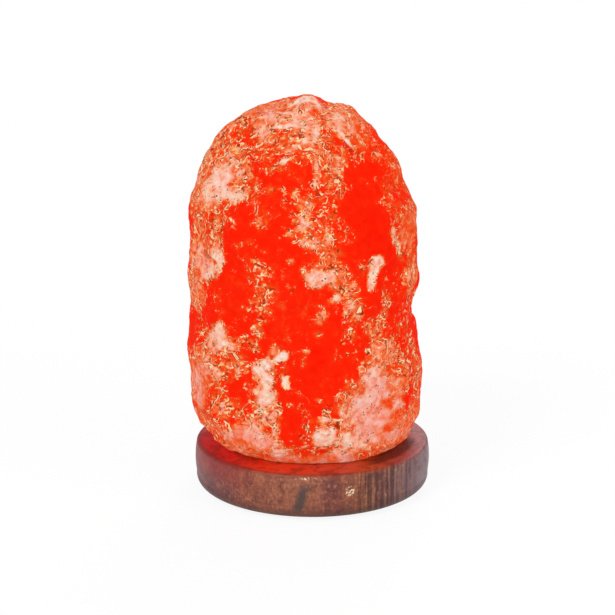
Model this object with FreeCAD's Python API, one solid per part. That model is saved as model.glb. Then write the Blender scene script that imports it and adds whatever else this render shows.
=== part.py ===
# Salt crystal lamp: a hollow lump of rock salt screwed to a turned wooden base, with a small
# screw-cap lampholder that springs into the bore from below and carries a pygmy bulb.
# Millimetres, +Z up. The origin is on the table, under the centre of the base. The front is -Y
# and the groove for the cord runs to the back, +Y.
import FreeCAD
import Part
import math
import os
import random

Vector = FreeCAD.Vector
UP = Vector(0, 0, 1)
os.makedirs("parts", exist_ok=True)

# Running and seating clearances
fit_gap = 0.05
slip_gap = 0.25

# Felt ring under the base
felt_thickness = 1.5
felt_outer_radius = 50.0
felt_width = 12.0
felt_cord_margin = 2.0

# Turned wooden base
base_radius = 60.0
base_wood_thickness = 22.5
base_side_bulge = 0.7
base_foot_radius = 55.0
base_foot_rounding = 6.0
base_rim_rounding = 1.5
bore_radius = 22.5
groove_width = 8.0
groove_depth = 6.5

# Screws that hold the rock, and the plaster plugs that they bite into
screw_circle_radius = 31.0
screw_angles = (30.0, 150.0, 270.0)
screw_length = 36.0
screw_shank_radius = 2.0
screw_point_length = 5.0
screw_head_radius = 3.9
screw_head_height = 2.6
screw_slot_width = 0.9
screw_slot_depth = 1.2
screw_slot_length = 5.0
screw_hole_gap = 0.3
counterbore_radius = 4.8
counterbore_depth = 9.5
plug_radius = 4.5
plug_depth = 28.0

# Rock: height, and half-width to the side that reaches furthest
rock_height = 174.0
rock_half_width = 64.0
# Outline of the rock, in percent: height over its foot, then how far it reaches from the axis to the
# left, right, front and back, as shares of the half-width
rock_sections = (
    (0, 62, 62, 60, 59),
    (2, 74, 75, 71, 70),
    (5, 90, 84, 80, 80),
    (12, 101, 88, 86, 84),
    (22, 99, 86, 88, 86),
    (33, 99, 82, 88, 87),
    (42, 97, 79, 87, 86),
    (51, 97, 84, 86, 84),
    (59, 97, 82, 85, 84),
    (68, 95, 80, 83, 81),
    (76, 91, 71, 77, 76),
    (85, 80, 62, 67, 66),
    (92, 68, 50, 55, 53),
    (97, 49, 29, 39, 38),
    (100, 19, 9, 16, 16),
)
rock_squareness = 2.3
# Hewn facets: how many go round, how far their corners stand in or out of the even outline, how far
# they stray up or down as a share of the room to the next row, and the seed of both
rock_facets_round = 16
rock_hewn_reach = 1.5
rock_hewn_stray = 0.2
rock_hewn_seed = 4
# Ripples round the rock: size as a share, waves per turn, phase in degrees, and how many turns each
# one drifts round from foot to top
rock_ripples = (
    (0.012, 3, 34, 0.58),
    (0.010, 5, 120, -0.83),
    (0.006, 7, 229, 1.19),
)
# Chisel flats: bearing and upward tilt in degrees, then height and distance out in percent
rock_flats = (
    (176, 40, 86, 80),
    (4, 38, 84, 62),
    (232, 34, 84, 66),
    (304, 30, 80, 66),
    (268, 58, 95, 42),
    (60, 33, 83, 65),
    (118, 36, 86, 64),
    (322, 4, 56, 84),
    (214, 6, 62, 91),
    (252, -3, 38, 88),
    (100, 3, 48, 83),
    (40, -6, 30, 85),
    (150, 0, 34, 93),
    (306, -7, 22, 84),
    (345, -30, 8, 84),
    (205, -24, 13, 95),
)
rock_bore_radius = 23.0
rock_bore_depth = 98.0
rock_bore_cone = 5.0

# Clip: a steel bracket under the lampholder with one sprung arm at each side
clip_strip_width = 10.0
clip_strip_thickness = 0.7
clip_bracket_half_length = 12.2
clip_root_gap = 0.1
clip_root_bend_radius = 2.8
clip_root_bend = 42.0
clip_shoulder_radius = 3.0
clip_lean = 10.0
clip_arm_rise = 22.0
clip_tip_radius = 2.0
clip_tip_bend = 40.0
clip_eye_radius = 8.0

# Hollow threaded nipple and its nut, which clamp the bracket to the lampholder
nipple_lift = 8.5
nipple_length = 10.2
nipple_outer_radius = 4.9
nipple_bore_radius = 3.75
nut_lift = 1.2
nut_thickness = 3.0
nut_across_flats = 14.0
nut_corner_height = 0.45

# Lampholder shells
holder_radius = 12.6
holder_wall = 1.8
cap_neck_radius = 8.0
cap_cone_height = 5.0
cap_boss_height = 5.0
cap_height = 15.0
spigot_height = 4.0
spigot_wall = 1.4
skirt_height = 30.0
skirt_rim_radius = 13.6
skirt_rim_height = 3.0
skirt_rim_slope = 0.9
skirt_mouth_radius = 9.2
skirt_lip = 2.0
grip_flutes = 24
grip_flute_radius = 0.7
grip_height = 7.0

# Terminal block, contacts and terminals
block_thickness = 5.8
shell_inner_radius = 7.05
shell_wall = 0.35
shell_height = 18.0
shell_hole_radius = 5.0
contact_width = 3.0
contact_thickness = 0.3
contact_start = -4.6
contact_foot = 2.4
contact_rise_angle = 50.0
contact_bend_radius = 1.0
contact_tail_angle = 20.0
contact_tail = 0.6
rivet_radius = 0.7
rivet_head_radius = 1.0
rivet_head_height = 0.4
rivet_offsets = (-3.4, 6.0)
pillar_width = 5.0
pillar_depth = 6.0
pillar_height = 5.0
pillar_offset = 5.2
pillar_wire_radius = 1.3
pillar_wire_depth = 4.0
pillar_screw_radius = 1.2
pillar_screw_head_radius = 1.9
pillar_screw_head_height = 1.4
pillar_screw_reach = 1.6
pillar_slot_width = 0.5
pillar_slot_depth = 0.6

# Bulb, upwards from the tip of its contact
bulb_tip_over_block = 2.0
bulb_contact_radius = 2.2
bulb_contact_height = 0.9
bulb_insulator_height = 1.2
bulb_insulator_top_radius = 6.4
bulb_cap_radius = 6.8
bulb_cap_wall = 0.3
bulb_cap_straight = 16.0
bulb_collar_radius = 8.4
bulb_collar_slope = 2.0
bulb_collar_height = 4.0
bulb_length = 57.0
bulb_radius = 12.5
bulb_neck_radius = 8.0
bulb_neck_height = 5.0
bulb_shoulder_height = 9.0
bulb_shoulder_sweep = 0.45
bulb_glass_wall = 0.7
stem_radius = 2.0
stem_height = 12.0
stem_flare_height = 6.0
stem_flare_sweep = 1.6
stem_pinch_height = 3.0
lead_radius = 0.3
lead_spread_foot = 1.2
lead_spread_top = 6.0
lead_rise = 10.0
filament_radius = 0.35
filament_rise = 1.5

# Levels that everything else is stacked on
wood_bottom = felt_thickness
wood_top = wood_bottom + base_wood_thickness
screw_seat = wood_bottom + counterbore_depth
nipple_bottom = wood_bottom + nipple_lift
nut_bottom = nipple_bottom + nut_lift
bracket_bottom = nut_bottom + nut_thickness
cap_bottom = bracket_bottom + clip_strip_thickness
cap_top = cap_bottom + cap_height
skirt_top = cap_top + skirt_height
block_bottom = cap_top
block_top = block_bottom + block_thickness
pillar_level = block_bottom - pillar_height / 2
bulb_bottom = block_top + bulb_tip_over_block
insulator_bottom = bulb_bottom + bulb_contact_height
bulb_cap_bottom = insulator_bottom + bulb_insulator_height
collar_bottom = bulb_cap_bottom + bulb_cap_straight
collar_top = collar_bottom + bulb_collar_slope + bulb_collar_height
glass_bottom = collar_bottom + bulb_collar_slope + fit_gap
bulb_top = bulb_bottom + bulb_length
stem_bottom = glass_bottom
stem_top = stem_bottom + stem_height + stem_pinch_height


def save(name, shape):
    """Writes one sub-part and prints its volume."""
    shape.exportStep("parts/" + name + ".step")
    print(f"{name}: solids {len(shape.Solids)}, volume {shape.Volume:.1f}, valid {shape.isValid()}")


def disc(radius, bottom, top, x=0.0, y=0.0):
    """An upright cylinder."""
    return Part.makeCylinder(radius, top - bottom, Vector(x, y, bottom), UP)


def block(width, depth, bottom, top, x=0.0, y=0.0):
    """An upright box centred on x and y."""
    return Part.makeBox(width, depth, top - bottom, Vector(x - width / 2, y - depth / 2, bottom))


def turned(outline):
    """A solid of revolution. The outline is radius and height pairs. A third value makes the side
    that ends at that point an arc, and is how far it bulges to the right of the way it is drawn."""
    points = [Vector(p[0], 0, p[1]) for p in outline]
    edges = []
    for i, row in enumerate(outline):
        start, end = points[i - 1], points[i]
        if len(row) == 2:
            edges.append(Part.LineSegment(start, end).toShape())
            continue
        along = (end - start).normalize()
        middle = (start + end) / 2 + Vector(along.z, 0, -along.x) * row[2]
        edges.append(Part.Arc(start, middle, end).toShape())
    face = Part.Face(Part.Wire(edges))
    return face.revolve(Vector(0, 0, 0), UP, 360)


def dome(radius, height):
    """How far the arc of a round cap bulges from the straight line between its edge and its top."""
    sphere = (radius**2 + height**2) / (2 * height)
    return sphere - math.sqrt(sphere**2 - (radius**2 + height**2) / 4)


def strip(start, heading, moves, thickness, width):
    """A bent strip across Y. It starts at a point of the XZ plane in a heading in degrees, and each
    move is a straight length or a radius with a turn in degrees, where a left turn is positive."""
    left, right = [], []
    x, z = start
    angle = math.radians(heading)
    half = thickness / 2

    def beside(cx, cz, a, offset):
        return Vector(cx - offset * math.sin(a), 0, cz + offset * math.cos(a))

    first = (beside(x, z, angle, half), beside(x, z, angle, -half))
    for move in moves:
        before = (beside(x, z, angle, half), beside(x, z, angle, -half))
        if len(move) == 1:
            x += move[0] * math.cos(angle)
            z += move[0] * math.sin(angle)
            after = (beside(x, z, angle, half), beside(x, z, angle, -half))
            left.append(Part.LineSegment(before[0], after[0]).toShape())
            right.append(Part.LineSegment(before[1], after[1]).toShape())
            continue
        radius, turn = move[0], math.radians(move[1])
        side = math.copysign(1, turn)
        cx = x - side * radius * math.sin(angle)
        cz = z + side * radius * math.cos(angle)
        middle = angle + turn / 2
        angle += turn
        x = cx + side * radius * math.sin(angle)
        z = cz - side * radius * math.cos(angle)
        after = (beside(x, z, angle, half), beside(x, z, angle, -half))
        for edges, k, offset in ((left, 0, half), (right, 1, -half)):
            reach = side * radius - offset
            bend = Vector(cx + reach * math.sin(middle), 0, cz - reach * math.cos(middle))
            edges.append(Part.Arc(before[k], bend, after[k]).toShape())
    far = Part.LineSegment(after[0], after[1]).toShape()
    near = Part.LineSegment(first[1], first[0]).toShape()
    face = Part.Face(Part.Wire(left + [far] + right[::-1] + [near]))
    face.translate(Vector(0, -width / 2, 0))
    return face.extrude(Vector(0, width, 0))


def felt_ring():
    """A flat felt ring with a gap where the cord leaves."""
    inner = felt_outer_radius - felt_width
    ring = disc(felt_outer_radius, 0, felt_thickness).cut(disc(inner, 0, felt_thickness))
    gap_width = groove_width + 2 * felt_cord_margin
    return ring.cut(block(gap_width, felt_outer_radius, 0, felt_thickness, 0, felt_outer_radius))


def wooden_base():
    """A turned disc: rounded foot, faintly bellied side, eased rim, through bore, cord groove
    underneath and counterbored holes for the screws."""
    side_radius = base_radius - base_side_bulge
    rim_radius = side_radius - base_rim_rounding
    body = turned([
        (bore_radius, wood_bottom),
        (base_foot_radius, wood_bottom),
        (side_radius, wood_bottom + base_foot_rounding, dome(base_foot_rounding, base_foot_rounding)),
        (side_radius, wood_top - base_rim_rounding, base_side_bulge),
        (rim_radius, wood_top, dome(base_rim_rounding, base_rim_rounding)),
        (bore_radius, wood_top),
    ])
    round_radius = groove_width / 2
    round_centre = wood_bottom + groove_depth - round_radius
    groove = block(groove_width, 2 * base_radius, 0, round_centre, 0, base_radius)
    crown = Part.makeCylinder(round_radius, 2 * base_radius, Vector(0, 0, round_centre), Vector(0, 1, 0))
    body = body.cut(groove.fuse(crown))
    for x, y in screw_places():
        body = body.cut(disc(counterbore_radius, wood_bottom, screw_seat, x, y))
        body = body.cut(disc(screw_shank_radius + screw_hole_gap, screw_seat, wood_top, x, y))
    return body


def screw_places():
    """Where the screws stand, as x and y."""
    turns = [math.radians(a) for a in screw_angles]
    return [(screw_circle_radius * math.cos(a), screw_circle_radius * math.sin(a)) for a in turns]


def base_screws():
    """Slotted round-head wood screws, pointing up into the rock."""
    made = []
    straight_top = screw_seat + screw_length - screw_point_length
    for x, y in screw_places():
        one = turned([
            (0, screw_seat - screw_head_height),
            (screw_head_radius, screw_seat, dome(screw_head_radius, screw_head_height)),
            (screw_shank_radius, screw_seat),
            (screw_shank_radius, straight_top),
            (0, straight_top + screw_point_length),
        ])
        head_bottom = screw_seat - screw_head_height
        slot = block(screw_slot_length, screw_slot_width, head_bottom, head_bottom + screw_slot_depth)
        one = one.cut(slot)
        one.translate(Vector(x, y, 0))
        made.append(one)
    return Part.makeCompound(made)


def plaster_plugs():
    """Plaster cast round the screws in three blind holes of the rock."""
    made = []
    for x, y in screw_places():
        plug = disc(plug_radius - fit_gap, wood_top, wood_top + plug_depth - fit_gap, x, y)
        made.append(plug.cut(disc(screw_shank_radius + fit_gap, wood_top, screw_seat + screw_length, x, y)))
    return Part.makeCompound(made)


def rock_corners():
    """The corners of the rock's facets, row by row: a squarish oval that reaches differently far to
    each side, with low ripples that drift round as the rock rises. Every second row is turned by
    half a facet, and all corners but those of the first and last row are moved a little."""
    draw = random.Random(rock_hewn_seed)
    levels = [row[0] * rock_height / 100 for row in rock_sections]
    rows = []
    for k, (share_up, *reaches) in enumerate(rock_sections):
        left, right, front, back = [reach * rock_half_width / 100 for reach in reaches]
        inner = 0 < k < len(levels) - 1
        room = min(levels[k] - levels[k - 1], levels[k + 1] - levels[k]) if inner else 0
        row = []
        for i in range(rock_facets_round):
            a = 2 * math.pi * (i + k % 2 / 2) / rock_facets_round
            c, s = math.cos(a), math.sin(a)
            oval = (abs(c) ** rock_squareness + abs(s) ** rock_squareness) ** (-1 / rock_squareness)
            for size, waves, phase, drift in rock_ripples:
                turn = waves * a + math.radians(phase) + 2 * math.pi * drift * share_up / 100
                oval *= 1 + size * math.sin(turn)
            out = draw.uniform(-rock_hewn_reach, rock_hewn_reach) if inner else 0
            x = c * (oval * (right if c > 0 else left) + out)
            y = s * (oval * (back if s > 0 else front) + out)
            stray = room * draw.uniform(-rock_hewn_stray, rock_hewn_stray)
            row.append(Vector(x, y, wood_top + levels[k] + stray))
        rows.append(row)
    return rows


def facet(*corners):
    """A flat face with the given corners."""
    return Part.Face(Part.makePolygon([*corners, corners[0]]))


def hewn_body():
    """The rock's outside as a closed body of triangles between the rows of corners."""
    rows = rock_corners()
    faces = [facet(*rows[0][::-1]), facet(*rows[-1])]
    for k, (lower, upper) in enumerate(zip(rows, rows[1:])):
        for i in range(rock_facets_round):
            j = (i + 1) % rock_facets_round
            if k % 2 == 0:
                faces += [facet(lower[i], lower[j], upper[i]), facet(lower[j], upper[j], upper[i])]
            else:
                faces += [facet(lower[i], lower[j], upper[j]), facet(lower[i], upper[j], upper[i])]
    return Part.makeSolid(Part.makeShell(faces))


def salt_rock():
    """The rock: its hewn facets, the large chisel flats, the bore for the bulb and the three holes
    for the plaster plugs."""
    rock = hewn_body()
    size = 2 * rock_height
    for bearing, tilt, share_up, share_out in rock_flats:
        waste = Part.makeBox(size, size, size, Vector(0, -size / 2, -size / 2))
        waste.rotate(Vector(0, 0, 0), Vector(0, 1, 0), -tilt)
        height = wood_top + share_up * rock_height / 100
        waste.translate(Vector(share_out * rock_half_width / 100, 0, height))
        waste.rotate(Vector(0, 0, 0), UP, bearing)
        rock = rock.cut(waste)
    bore_top = wood_top + rock_bore_depth
    bore = turned([
        (0, wood_top),
        (rock_bore_radius, wood_top),
        (rock_bore_radius, bore_top - rock_bore_cone),
        (0, bore_top),
    ])
    rock = rock.cut(bore)
    for x, y in screw_places():
        rock = rock.cut(disc(plug_radius, wood_top, wood_top + plug_depth, x, y))
    return rock


def clip_bracket():
    """The level middle of the clip, with an eye that is clamped under the lampholder."""
    plate = block(2 * clip_bracket_half_length, clip_strip_width, bracket_bottom, cap_bottom)
    plate = plate.fuse(disc(clip_eye_radius, bracket_bottom, cap_bottom)).removeSplitter()
    return plate.cut(disc(nipple_outer_radius + slip_gap, bracket_bottom, cap_bottom))


def clip_arm():
    """The sprung arm of the +X side: a bend at its root, a slope out to the wall of the bore, a
    round shoulder that bears on the wall, and a long arm that leans back in to a curled tip."""
    upright = 90
    root = clip_bracket_half_length + clip_root_gap
    level = bracket_bottom + clip_strip_thickness / 2
    wall_reach = math.sqrt((bore_radius - slip_gap) ** 2 - (clip_strip_width / 2) ** 2)
    sine, cosine = math.sin(math.radians(clip_root_bend)), math.cos(math.radians(clip_root_bend))
    slope_start = root + clip_root_bend_radius * sine
    slope_end = wall_reach - clip_strip_thickness / 2 - clip_shoulder_radius * (1 - sine)
    return strip(
        (root, level),
        0,
        [
            (clip_root_bend_radius, clip_root_bend),
            ((slope_end - slope_start) / cosine,),
            (clip_shoulder_radius, upright + clip_lean - clip_root_bend),
            (clip_arm_rise,),
            (clip_tip_radius, clip_tip_bend),
        ],
        clip_strip_thickness,
        clip_strip_width,
    )


def nipple():
    """The hollow threaded nipple that the cord enters by."""
    top = nipple_bottom + nipple_length
    return disc(nipple_outer_radius, nipple_bottom, top).cut(disc(nipple_bore_radius, nipple_bottom, top))


def nipple_nut():
    """A hexagon nut with its lower corners turned off."""
    corner = nut_across_flats / 2 / math.cos(math.radians(30))
    points = []
    for i in range(7):
        a = math.radians(60 * i)
        points.append(Vector(corner * math.cos(a), corner * math.sin(a), nut_bottom))
    hexagon = Part.Face(Part.makePolygon(points)).extrude(Vector(0, 0, nut_thickness))
    blank = turned([
        (0, nut_bottom),
        (nut_across_flats / 2, nut_bottom),
        (corner, nut_bottom + nut_corner_height),
        (corner, bracket_bottom),
        (0, bracket_bottom),
    ])
    hole = disc(nipple_outer_radius + fit_gap, nut_bottom, bracket_bottom)
    return hexagon.common(blank).cut(hole)


def holder_cap():
    """The lower shell of the lampholder: a boss for the nipple, a cone, and a fluted grip."""
    inner = holder_radius - holder_wall
    cone_top = cap_bottom + cap_cone_height
    boss_top = cap_bottom + cap_boss_height
    hole = nipple_outer_radius + fit_gap
    shell = turned([
        (hole, cap_bottom),
        (cap_neck_radius, cap_bottom),
        (holder_radius, cone_top),
        (holder_radius, cap_top),
        (inner, cap_top),
        (inner, cone_top + holder_wall),
        (cap_neck_radius - holder_wall / 2, boss_top),
        (hole, boss_top),
    ])
    grip_bottom = cone_top + holder_wall
    reach = holder_radius + grip_flute_radius / 2
    for i in range(grip_flutes):
        a = 2 * math.pi * i / grip_flutes
        x, y = reach * math.cos(a), reach * math.sin(a)
        shell = shell.cut(disc(grip_flute_radius, grip_bottom, grip_bottom + grip_height, x, y))
    return shell


def holder_skirt():
    """The upper shell: a spigot inside the cap, a ledge for the block, and a rolled rim with the
    mouth for the bulb."""
    spigot_outer = holder_radius - holder_wall - fit_gap
    spigot_inner = spigot_outer - spigot_wall
    inner = holder_radius - holder_wall + spigot_wall / 2
    rim_bottom = skirt_top - skirt_rim_height
    return turned([
        (spigot_inner, cap_top - spigot_height),
        (spigot_outer, cap_top - spigot_height),
        (spigot_outer, cap_top),
        (holder_radius, cap_top),
        (holder_radius, rim_bottom),
        (skirt_rim_radius, rim_bottom + skirt_rim_slope),
        (skirt_rim_radius, skirt_top - skirt_rim_slope),
        (holder_radius, skirt_top),
        (skirt_mouth_radius, skirt_top),
        (skirt_mouth_radius, skirt_top - skirt_lip),
        (inner, skirt_top - skirt_lip),
        (inner, cap_top),
        (spigot_inner, cap_top),
    ])


def terminal_block():
    """The insulating disc that carries the contacts, with holes for the two rivets."""
    radius = holder_radius - holder_wall + spigot_wall / 2 - fit_gap
    disc_body = disc(radius, block_bottom, block_top)
    for x in rivet_offsets:
        disc_body = disc_body.cut(disc(rivet_radius + fit_gap, block_bottom, block_top, x))
    return disc_body


def screw_shell():
    """The brass sleeve that the bulb screws into, with an inturned foot on the block."""
    outer = shell_inner_radius + shell_wall
    sleeve = disc(outer, block_top, block_top + shell_height)
    sleeve = sleeve.cut(disc(shell_inner_radius, block_top + shell_wall, block_top + shell_height))
    sleeve = sleeve.cut(disc(shell_hole_radius, block_top, block_top + shell_wall))
    return sleeve.cut(disc(rivet_radius + fit_gap, block_top, block_top + shell_wall, rivet_offsets[1]))


def centre_contact():
    """The sprung tongue under the tip of the bulb."""
    rise_angle = math.radians(contact_rise_angle)
    rise = bulb_tip_over_block - fit_gap - contact_thickness
    bends = 2 * contact_bend_radius * (1 - math.cos(rise_angle))
    tongue = strip(
        (contact_start, block_top + contact_thickness / 2),
        0,
        [
            (contact_foot,),
            (contact_bend_radius, contact_rise_angle),
            ((rise - bends) / math.sin(rise_angle),),
            (contact_bend_radius, -contact_rise_angle - contact_tail_angle),
            (contact_tail,),
        ],
        contact_thickness,
        contact_width,
    )
    foot_top = block_top + contact_thickness
    return tongue.cut(disc(rivet_radius + fit_gap, block_top, foot_top, rivet_offsets[0]))


def contact_rivets():
    """Two rivets that tie the contacts to the terminals through the block."""
    made = []
    for x, seat in zip(rivet_offsets, (contact_thickness, shell_wall)):
        shank = disc(rivet_radius, block_bottom, block_top + seat, x)
        head = disc(rivet_head_radius, block_top + seat, block_top + seat + rivet_head_height, x)
        made.append(shank.fuse(head).removeSplitter())
    return Part.makeCompound(made)


def pillar_terminals():
    """Two brass pillars under the block, each with a hole for a wire and a tapped side hole."""
    made = []
    bottom = block_bottom - pillar_height
    back = Vector(0, 1, 0)
    for x in (-pillar_offset, pillar_offset):
        pillar = block(pillar_width, pillar_depth, bottom, block_bottom, x)
        pillar = pillar.cut(disc(pillar_wire_radius, bottom, bottom + pillar_wire_depth, x))
        start = Vector(x, -pillar_depth / 2, pillar_level)
        tapped = Part.makeCylinder(pillar_screw_radius + fit_gap, pillar_depth / 2, start, back)
        made.append(pillar.cut(tapped))
    return Part.makeCompound(made)


def terminal_screws():
    """The two slotted screws that clamp the wires in the pillars."""
    made = []
    back = Vector(0, 1, 0)
    front = -pillar_depth / 2
    head_front = front - pillar_screw_head_height
    for x in (-pillar_offset, pillar_offset):
        start = Vector(x, front, pillar_level)
        shank = Part.makeCylinder(pillar_screw_radius, pillar_screw_reach, start, back)
        start = Vector(x, head_front, pillar_level)
        head = Part.makeCylinder(pillar_screw_head_radius, pillar_screw_head_height, start, back)
        corner = Vector(x - pillar_screw_head_radius, head_front, pillar_level - pillar_slot_width / 2)
        slot = Part.makeBox(2 * pillar_screw_head_radius, pillar_slot_depth, pillar_slot_width, corner)
        made.append(shank.fuse(head).removeSplitter().cut(slot))
    return Part.makeCompound(made)


def bulb_contact():
    """The soldered tip of the bulb's cap."""
    return turned([
        (0, bulb_bottom),
        (bulb_contact_radius, insulator_bottom, dome(bulb_contact_radius, bulb_contact_height)),
        (0, insulator_bottom),
    ])


def bulb_insulator():
    """The black glass that parts the tip from the cap."""
    return turned([
        (0, insulator_bottom),
        (bulb_contact_radius, insulator_bottom),
        (bulb_insulator_top_radius, bulb_cap_bottom),
        (0, bulb_cap_bottom),
    ])


def bulb_cap():
    """The bulb's brass cap: the sleeve, a sloped step and the collar round the glass."""
    slope_top = collar_bottom + bulb_collar_slope
    inner = bulb_cap_radius - bulb_cap_wall
    collar_inner = bulb_collar_radius - bulb_cap_wall
    return turned([
        (bulb_insulator_top_radius - bulb_cap_wall, bulb_cap_bottom),
        (bulb_cap_radius, bulb_cap_bottom),
        (bulb_cap_radius, collar_bottom),
        (bulb_collar_radius, slope_top),
        (bulb_collar_radius, collar_top),
        (collar_inner, collar_top),
        (collar_inner, slope_top),
        (inner, collar_bottom),
        (inner, bulb_cap_bottom + bulb_cap_wall),
        (bulb_insulator_top_radius - bulb_cap_wall, bulb_cap_bottom + bulb_cap_wall),
    ])


def glass_outline(inset):
    """The bulb's outline from the neck to the top, drawn in by the inset."""
    neck = bulb_neck_radius - inset
    belly = bulb_radius - inset
    neck_top = glass_bottom + bulb_neck_height
    belly_bottom = neck_top + bulb_shoulder_height
    belly_top = bulb_top - bulb_radius
    return [
        (0, glass_bottom),
        (neck, glass_bottom),
        (neck, neck_top),
        ((neck + belly) / 2, (neck_top + belly_bottom) / 2, -bulb_shoulder_sweep),
        (belly, belly_bottom, bulb_shoulder_sweep),
        (belly, belly_top),
        (0, belly_top + belly, dome(belly, belly)),
    ]


def bulb_glass():
    """The blown glass envelope, open at the neck where the stem closes it."""
    return turned(glass_outline(0)).cut(turned(glass_outline(bulb_glass_wall)))


def bulb_stem():
    """The flared glass stem with its pinch, which carries the leads."""
    flare = bulb_neck_radius - bulb_glass_wall - fit_gap
    tube_top = stem_bottom + stem_height
    stem = turned([
        (0, stem_bottom),
        (flare, stem_bottom),
        (stem_radius, stem_bottom + stem_flare_height, -stem_flare_sweep),
        (stem_radius, tube_top),
        (0, tube_top),
    ])
    pinch = block(2 * stem_radius, stem_radius, tube_top, stem_top)
    return stem.fuse(pinch).removeSplitter()


def bulb_leads():
    """The two wires that hold the filament."""
    made = []
    for side in (-1, 1):
        foot = Vector(side * lead_spread_foot, 0, stem_top)
        top = Vector(side * lead_spread_top, 0, stem_top + lead_rise)
        along = top - foot
        wire = Part.makeCylinder(lead_radius, along.Length, foot, along)
        made.append(wire)
    return Part.makeCompound(made)


def bulb_filament():
    """The coiled filament as the fine rod that it looks like, bowed between the leads."""
    reach = lead_spread_top - filament_radius
    level = stem_top + lead_rise + lead_radius
    bow = Part.Arc(
        Vector(-reach, 0, level), Vector(0, 0, level + filament_rise), Vector(reach, 0, level)
    )
    start = bow.tangent(bow.FirstParameter)[0]
    ring = Part.Wire(Part.makeCircle(filament_radius, Vector(-reach, 0, level), start))
    return Part.Wire(bow.toShape()).makePipeShell([ring], True, False)


save("felt_ring", felt_ring())
save("wooden_base", wooden_base())
save("base_screws", base_screws())
save("plaster_plugs", plaster_plugs())
save("salt_rock", salt_rock())
save("nipple", nipple())
save("nipple_nut", nipple_nut())
save("clip_bracket", clip_bracket())
right_arm = clip_arm()
left_arm = right_arm.copy()
left_arm.rotate(Vector(0, 0, 0), UP, 180)
save("clip_arm_right", right_arm)
save("clip_arm_left", left_arm)
save("holder_cap", holder_cap())
save("holder_skirt", holder_skirt())
save("terminal_block", terminal_block())
save("screw_shell", screw_shell())
save("centre_contact", centre_contact())
save("contact_rivets", contact_rivets())
save("pillar_terminals", pillar_terminals())
save("terminal_screws", terminal_screws())
save("bulb_contact", bulb_contact())
save("bulb_insulator", bulb_insulator())
save("bulb_cap", bulb_cap())
save("bulb_glass", bulb_glass())
save("bulb_stem", bulb_stem())
save("bulb_leads", bulb_leads())
save("bulb_filament", bulb_filament())
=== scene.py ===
# Salt crystal lamp, lit: the hewn rock with its frosted and clear crystal, the oiled wooden base,
# the felt ring, and the threads, filament and finishes of the lampholder and bulb inside.
# Shapes are worked out in millimetres and put into the meshes in metres. The front is -Y.
import math
import random
import bmesh
import bpy
import numpy as np
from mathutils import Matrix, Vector


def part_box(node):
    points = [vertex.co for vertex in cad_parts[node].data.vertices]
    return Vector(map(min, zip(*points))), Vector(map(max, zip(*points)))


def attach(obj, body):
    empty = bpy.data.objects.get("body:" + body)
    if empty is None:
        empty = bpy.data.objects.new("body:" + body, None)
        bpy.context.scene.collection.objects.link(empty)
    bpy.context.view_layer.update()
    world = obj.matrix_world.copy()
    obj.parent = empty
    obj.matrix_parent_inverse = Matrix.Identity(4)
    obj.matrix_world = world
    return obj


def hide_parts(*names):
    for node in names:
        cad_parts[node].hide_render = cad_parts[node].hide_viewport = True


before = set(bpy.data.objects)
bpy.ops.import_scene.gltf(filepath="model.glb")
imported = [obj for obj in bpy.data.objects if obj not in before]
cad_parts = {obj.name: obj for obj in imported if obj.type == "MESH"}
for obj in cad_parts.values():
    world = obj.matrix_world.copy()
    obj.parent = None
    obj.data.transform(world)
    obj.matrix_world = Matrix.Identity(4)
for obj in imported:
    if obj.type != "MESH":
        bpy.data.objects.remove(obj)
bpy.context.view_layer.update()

METRE = 1000.0
TURN = 2 * math.pi


def low(node):
    """The lowest corner of a CAD node, in millimetres."""
    return np.array(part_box(node)[0]) * METRE


def high(node):
    """The highest corner of a CAD node, in millimetres."""
    return np.array(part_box(node)[1]) * METRE


# Levels and sizes that come from the frame
wood_bottom = low("wooden_base")[2]
wood_top = high("wooden_base")[2]
wood_radius = high("wooden_base")[0]
rock_height = high("salt_rock")[2] - wood_top

# The photograph's viewpoint, in millimetres and degrees
aim = np.array([-2.45, 0.0, 92.2])
view_distance = 850.0
view_elevation = 14.5
sensor_width = 36.0
photo_width = 615.0
focal_length = 1687.0
# Stage, in metres: half the floor, and the point that the lamps face
floor_half = 6.0
lamp_aim = Vector((0, 0, 0.1))

# Rock: half-width to the side that reaches furthest
rock_half_width = 64.0
# Outline of the rock, in percent: height over its foot, then how far it reaches from the axis to the
# left, right, front and back, as shares of the half-width
rock_sections = (
    (0, 62, 62, 60, 59),
    (2, 74, 75, 71, 70),
    (5, 90, 84, 80, 80),
    (12, 101, 88, 86, 84),
    (22, 99, 86, 88, 86),
    (33, 99, 82, 88, 87),
    (42, 97, 79, 87, 86),
    (51, 97, 84, 86, 84),
    (59, 97, 82, 85, 84),
    (68, 95, 80, 83, 81),
    (76, 91, 71, 77, 76),
    (85, 80, 62, 67, 66),
    (92, 68, 50, 55, 53),
    (97, 49, 29, 39, 38),
    (100, 19, 9, 16, 16),
)
rock_squareness = 2.3
# Hewn facets: how many go round, how far their corners stand in or out of the even outline, how far
# they stray up or down as a share of the room to the next row, and the seed of both
rock_facets_round = 16
rock_hewn_reach = 1.5
rock_hewn_stray = 0.2
rock_hewn_seed = 4
# Ripples round the rock: size as a share, waves per turn, phase in degrees, and how many turns each
# one drifts round from foot to top
rock_ripples = (
    (0.012, 3, 34, 0.58),
    (0.010, 5, 120, -0.83),
    (0.006, 7, 229, 1.19),
)
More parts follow.
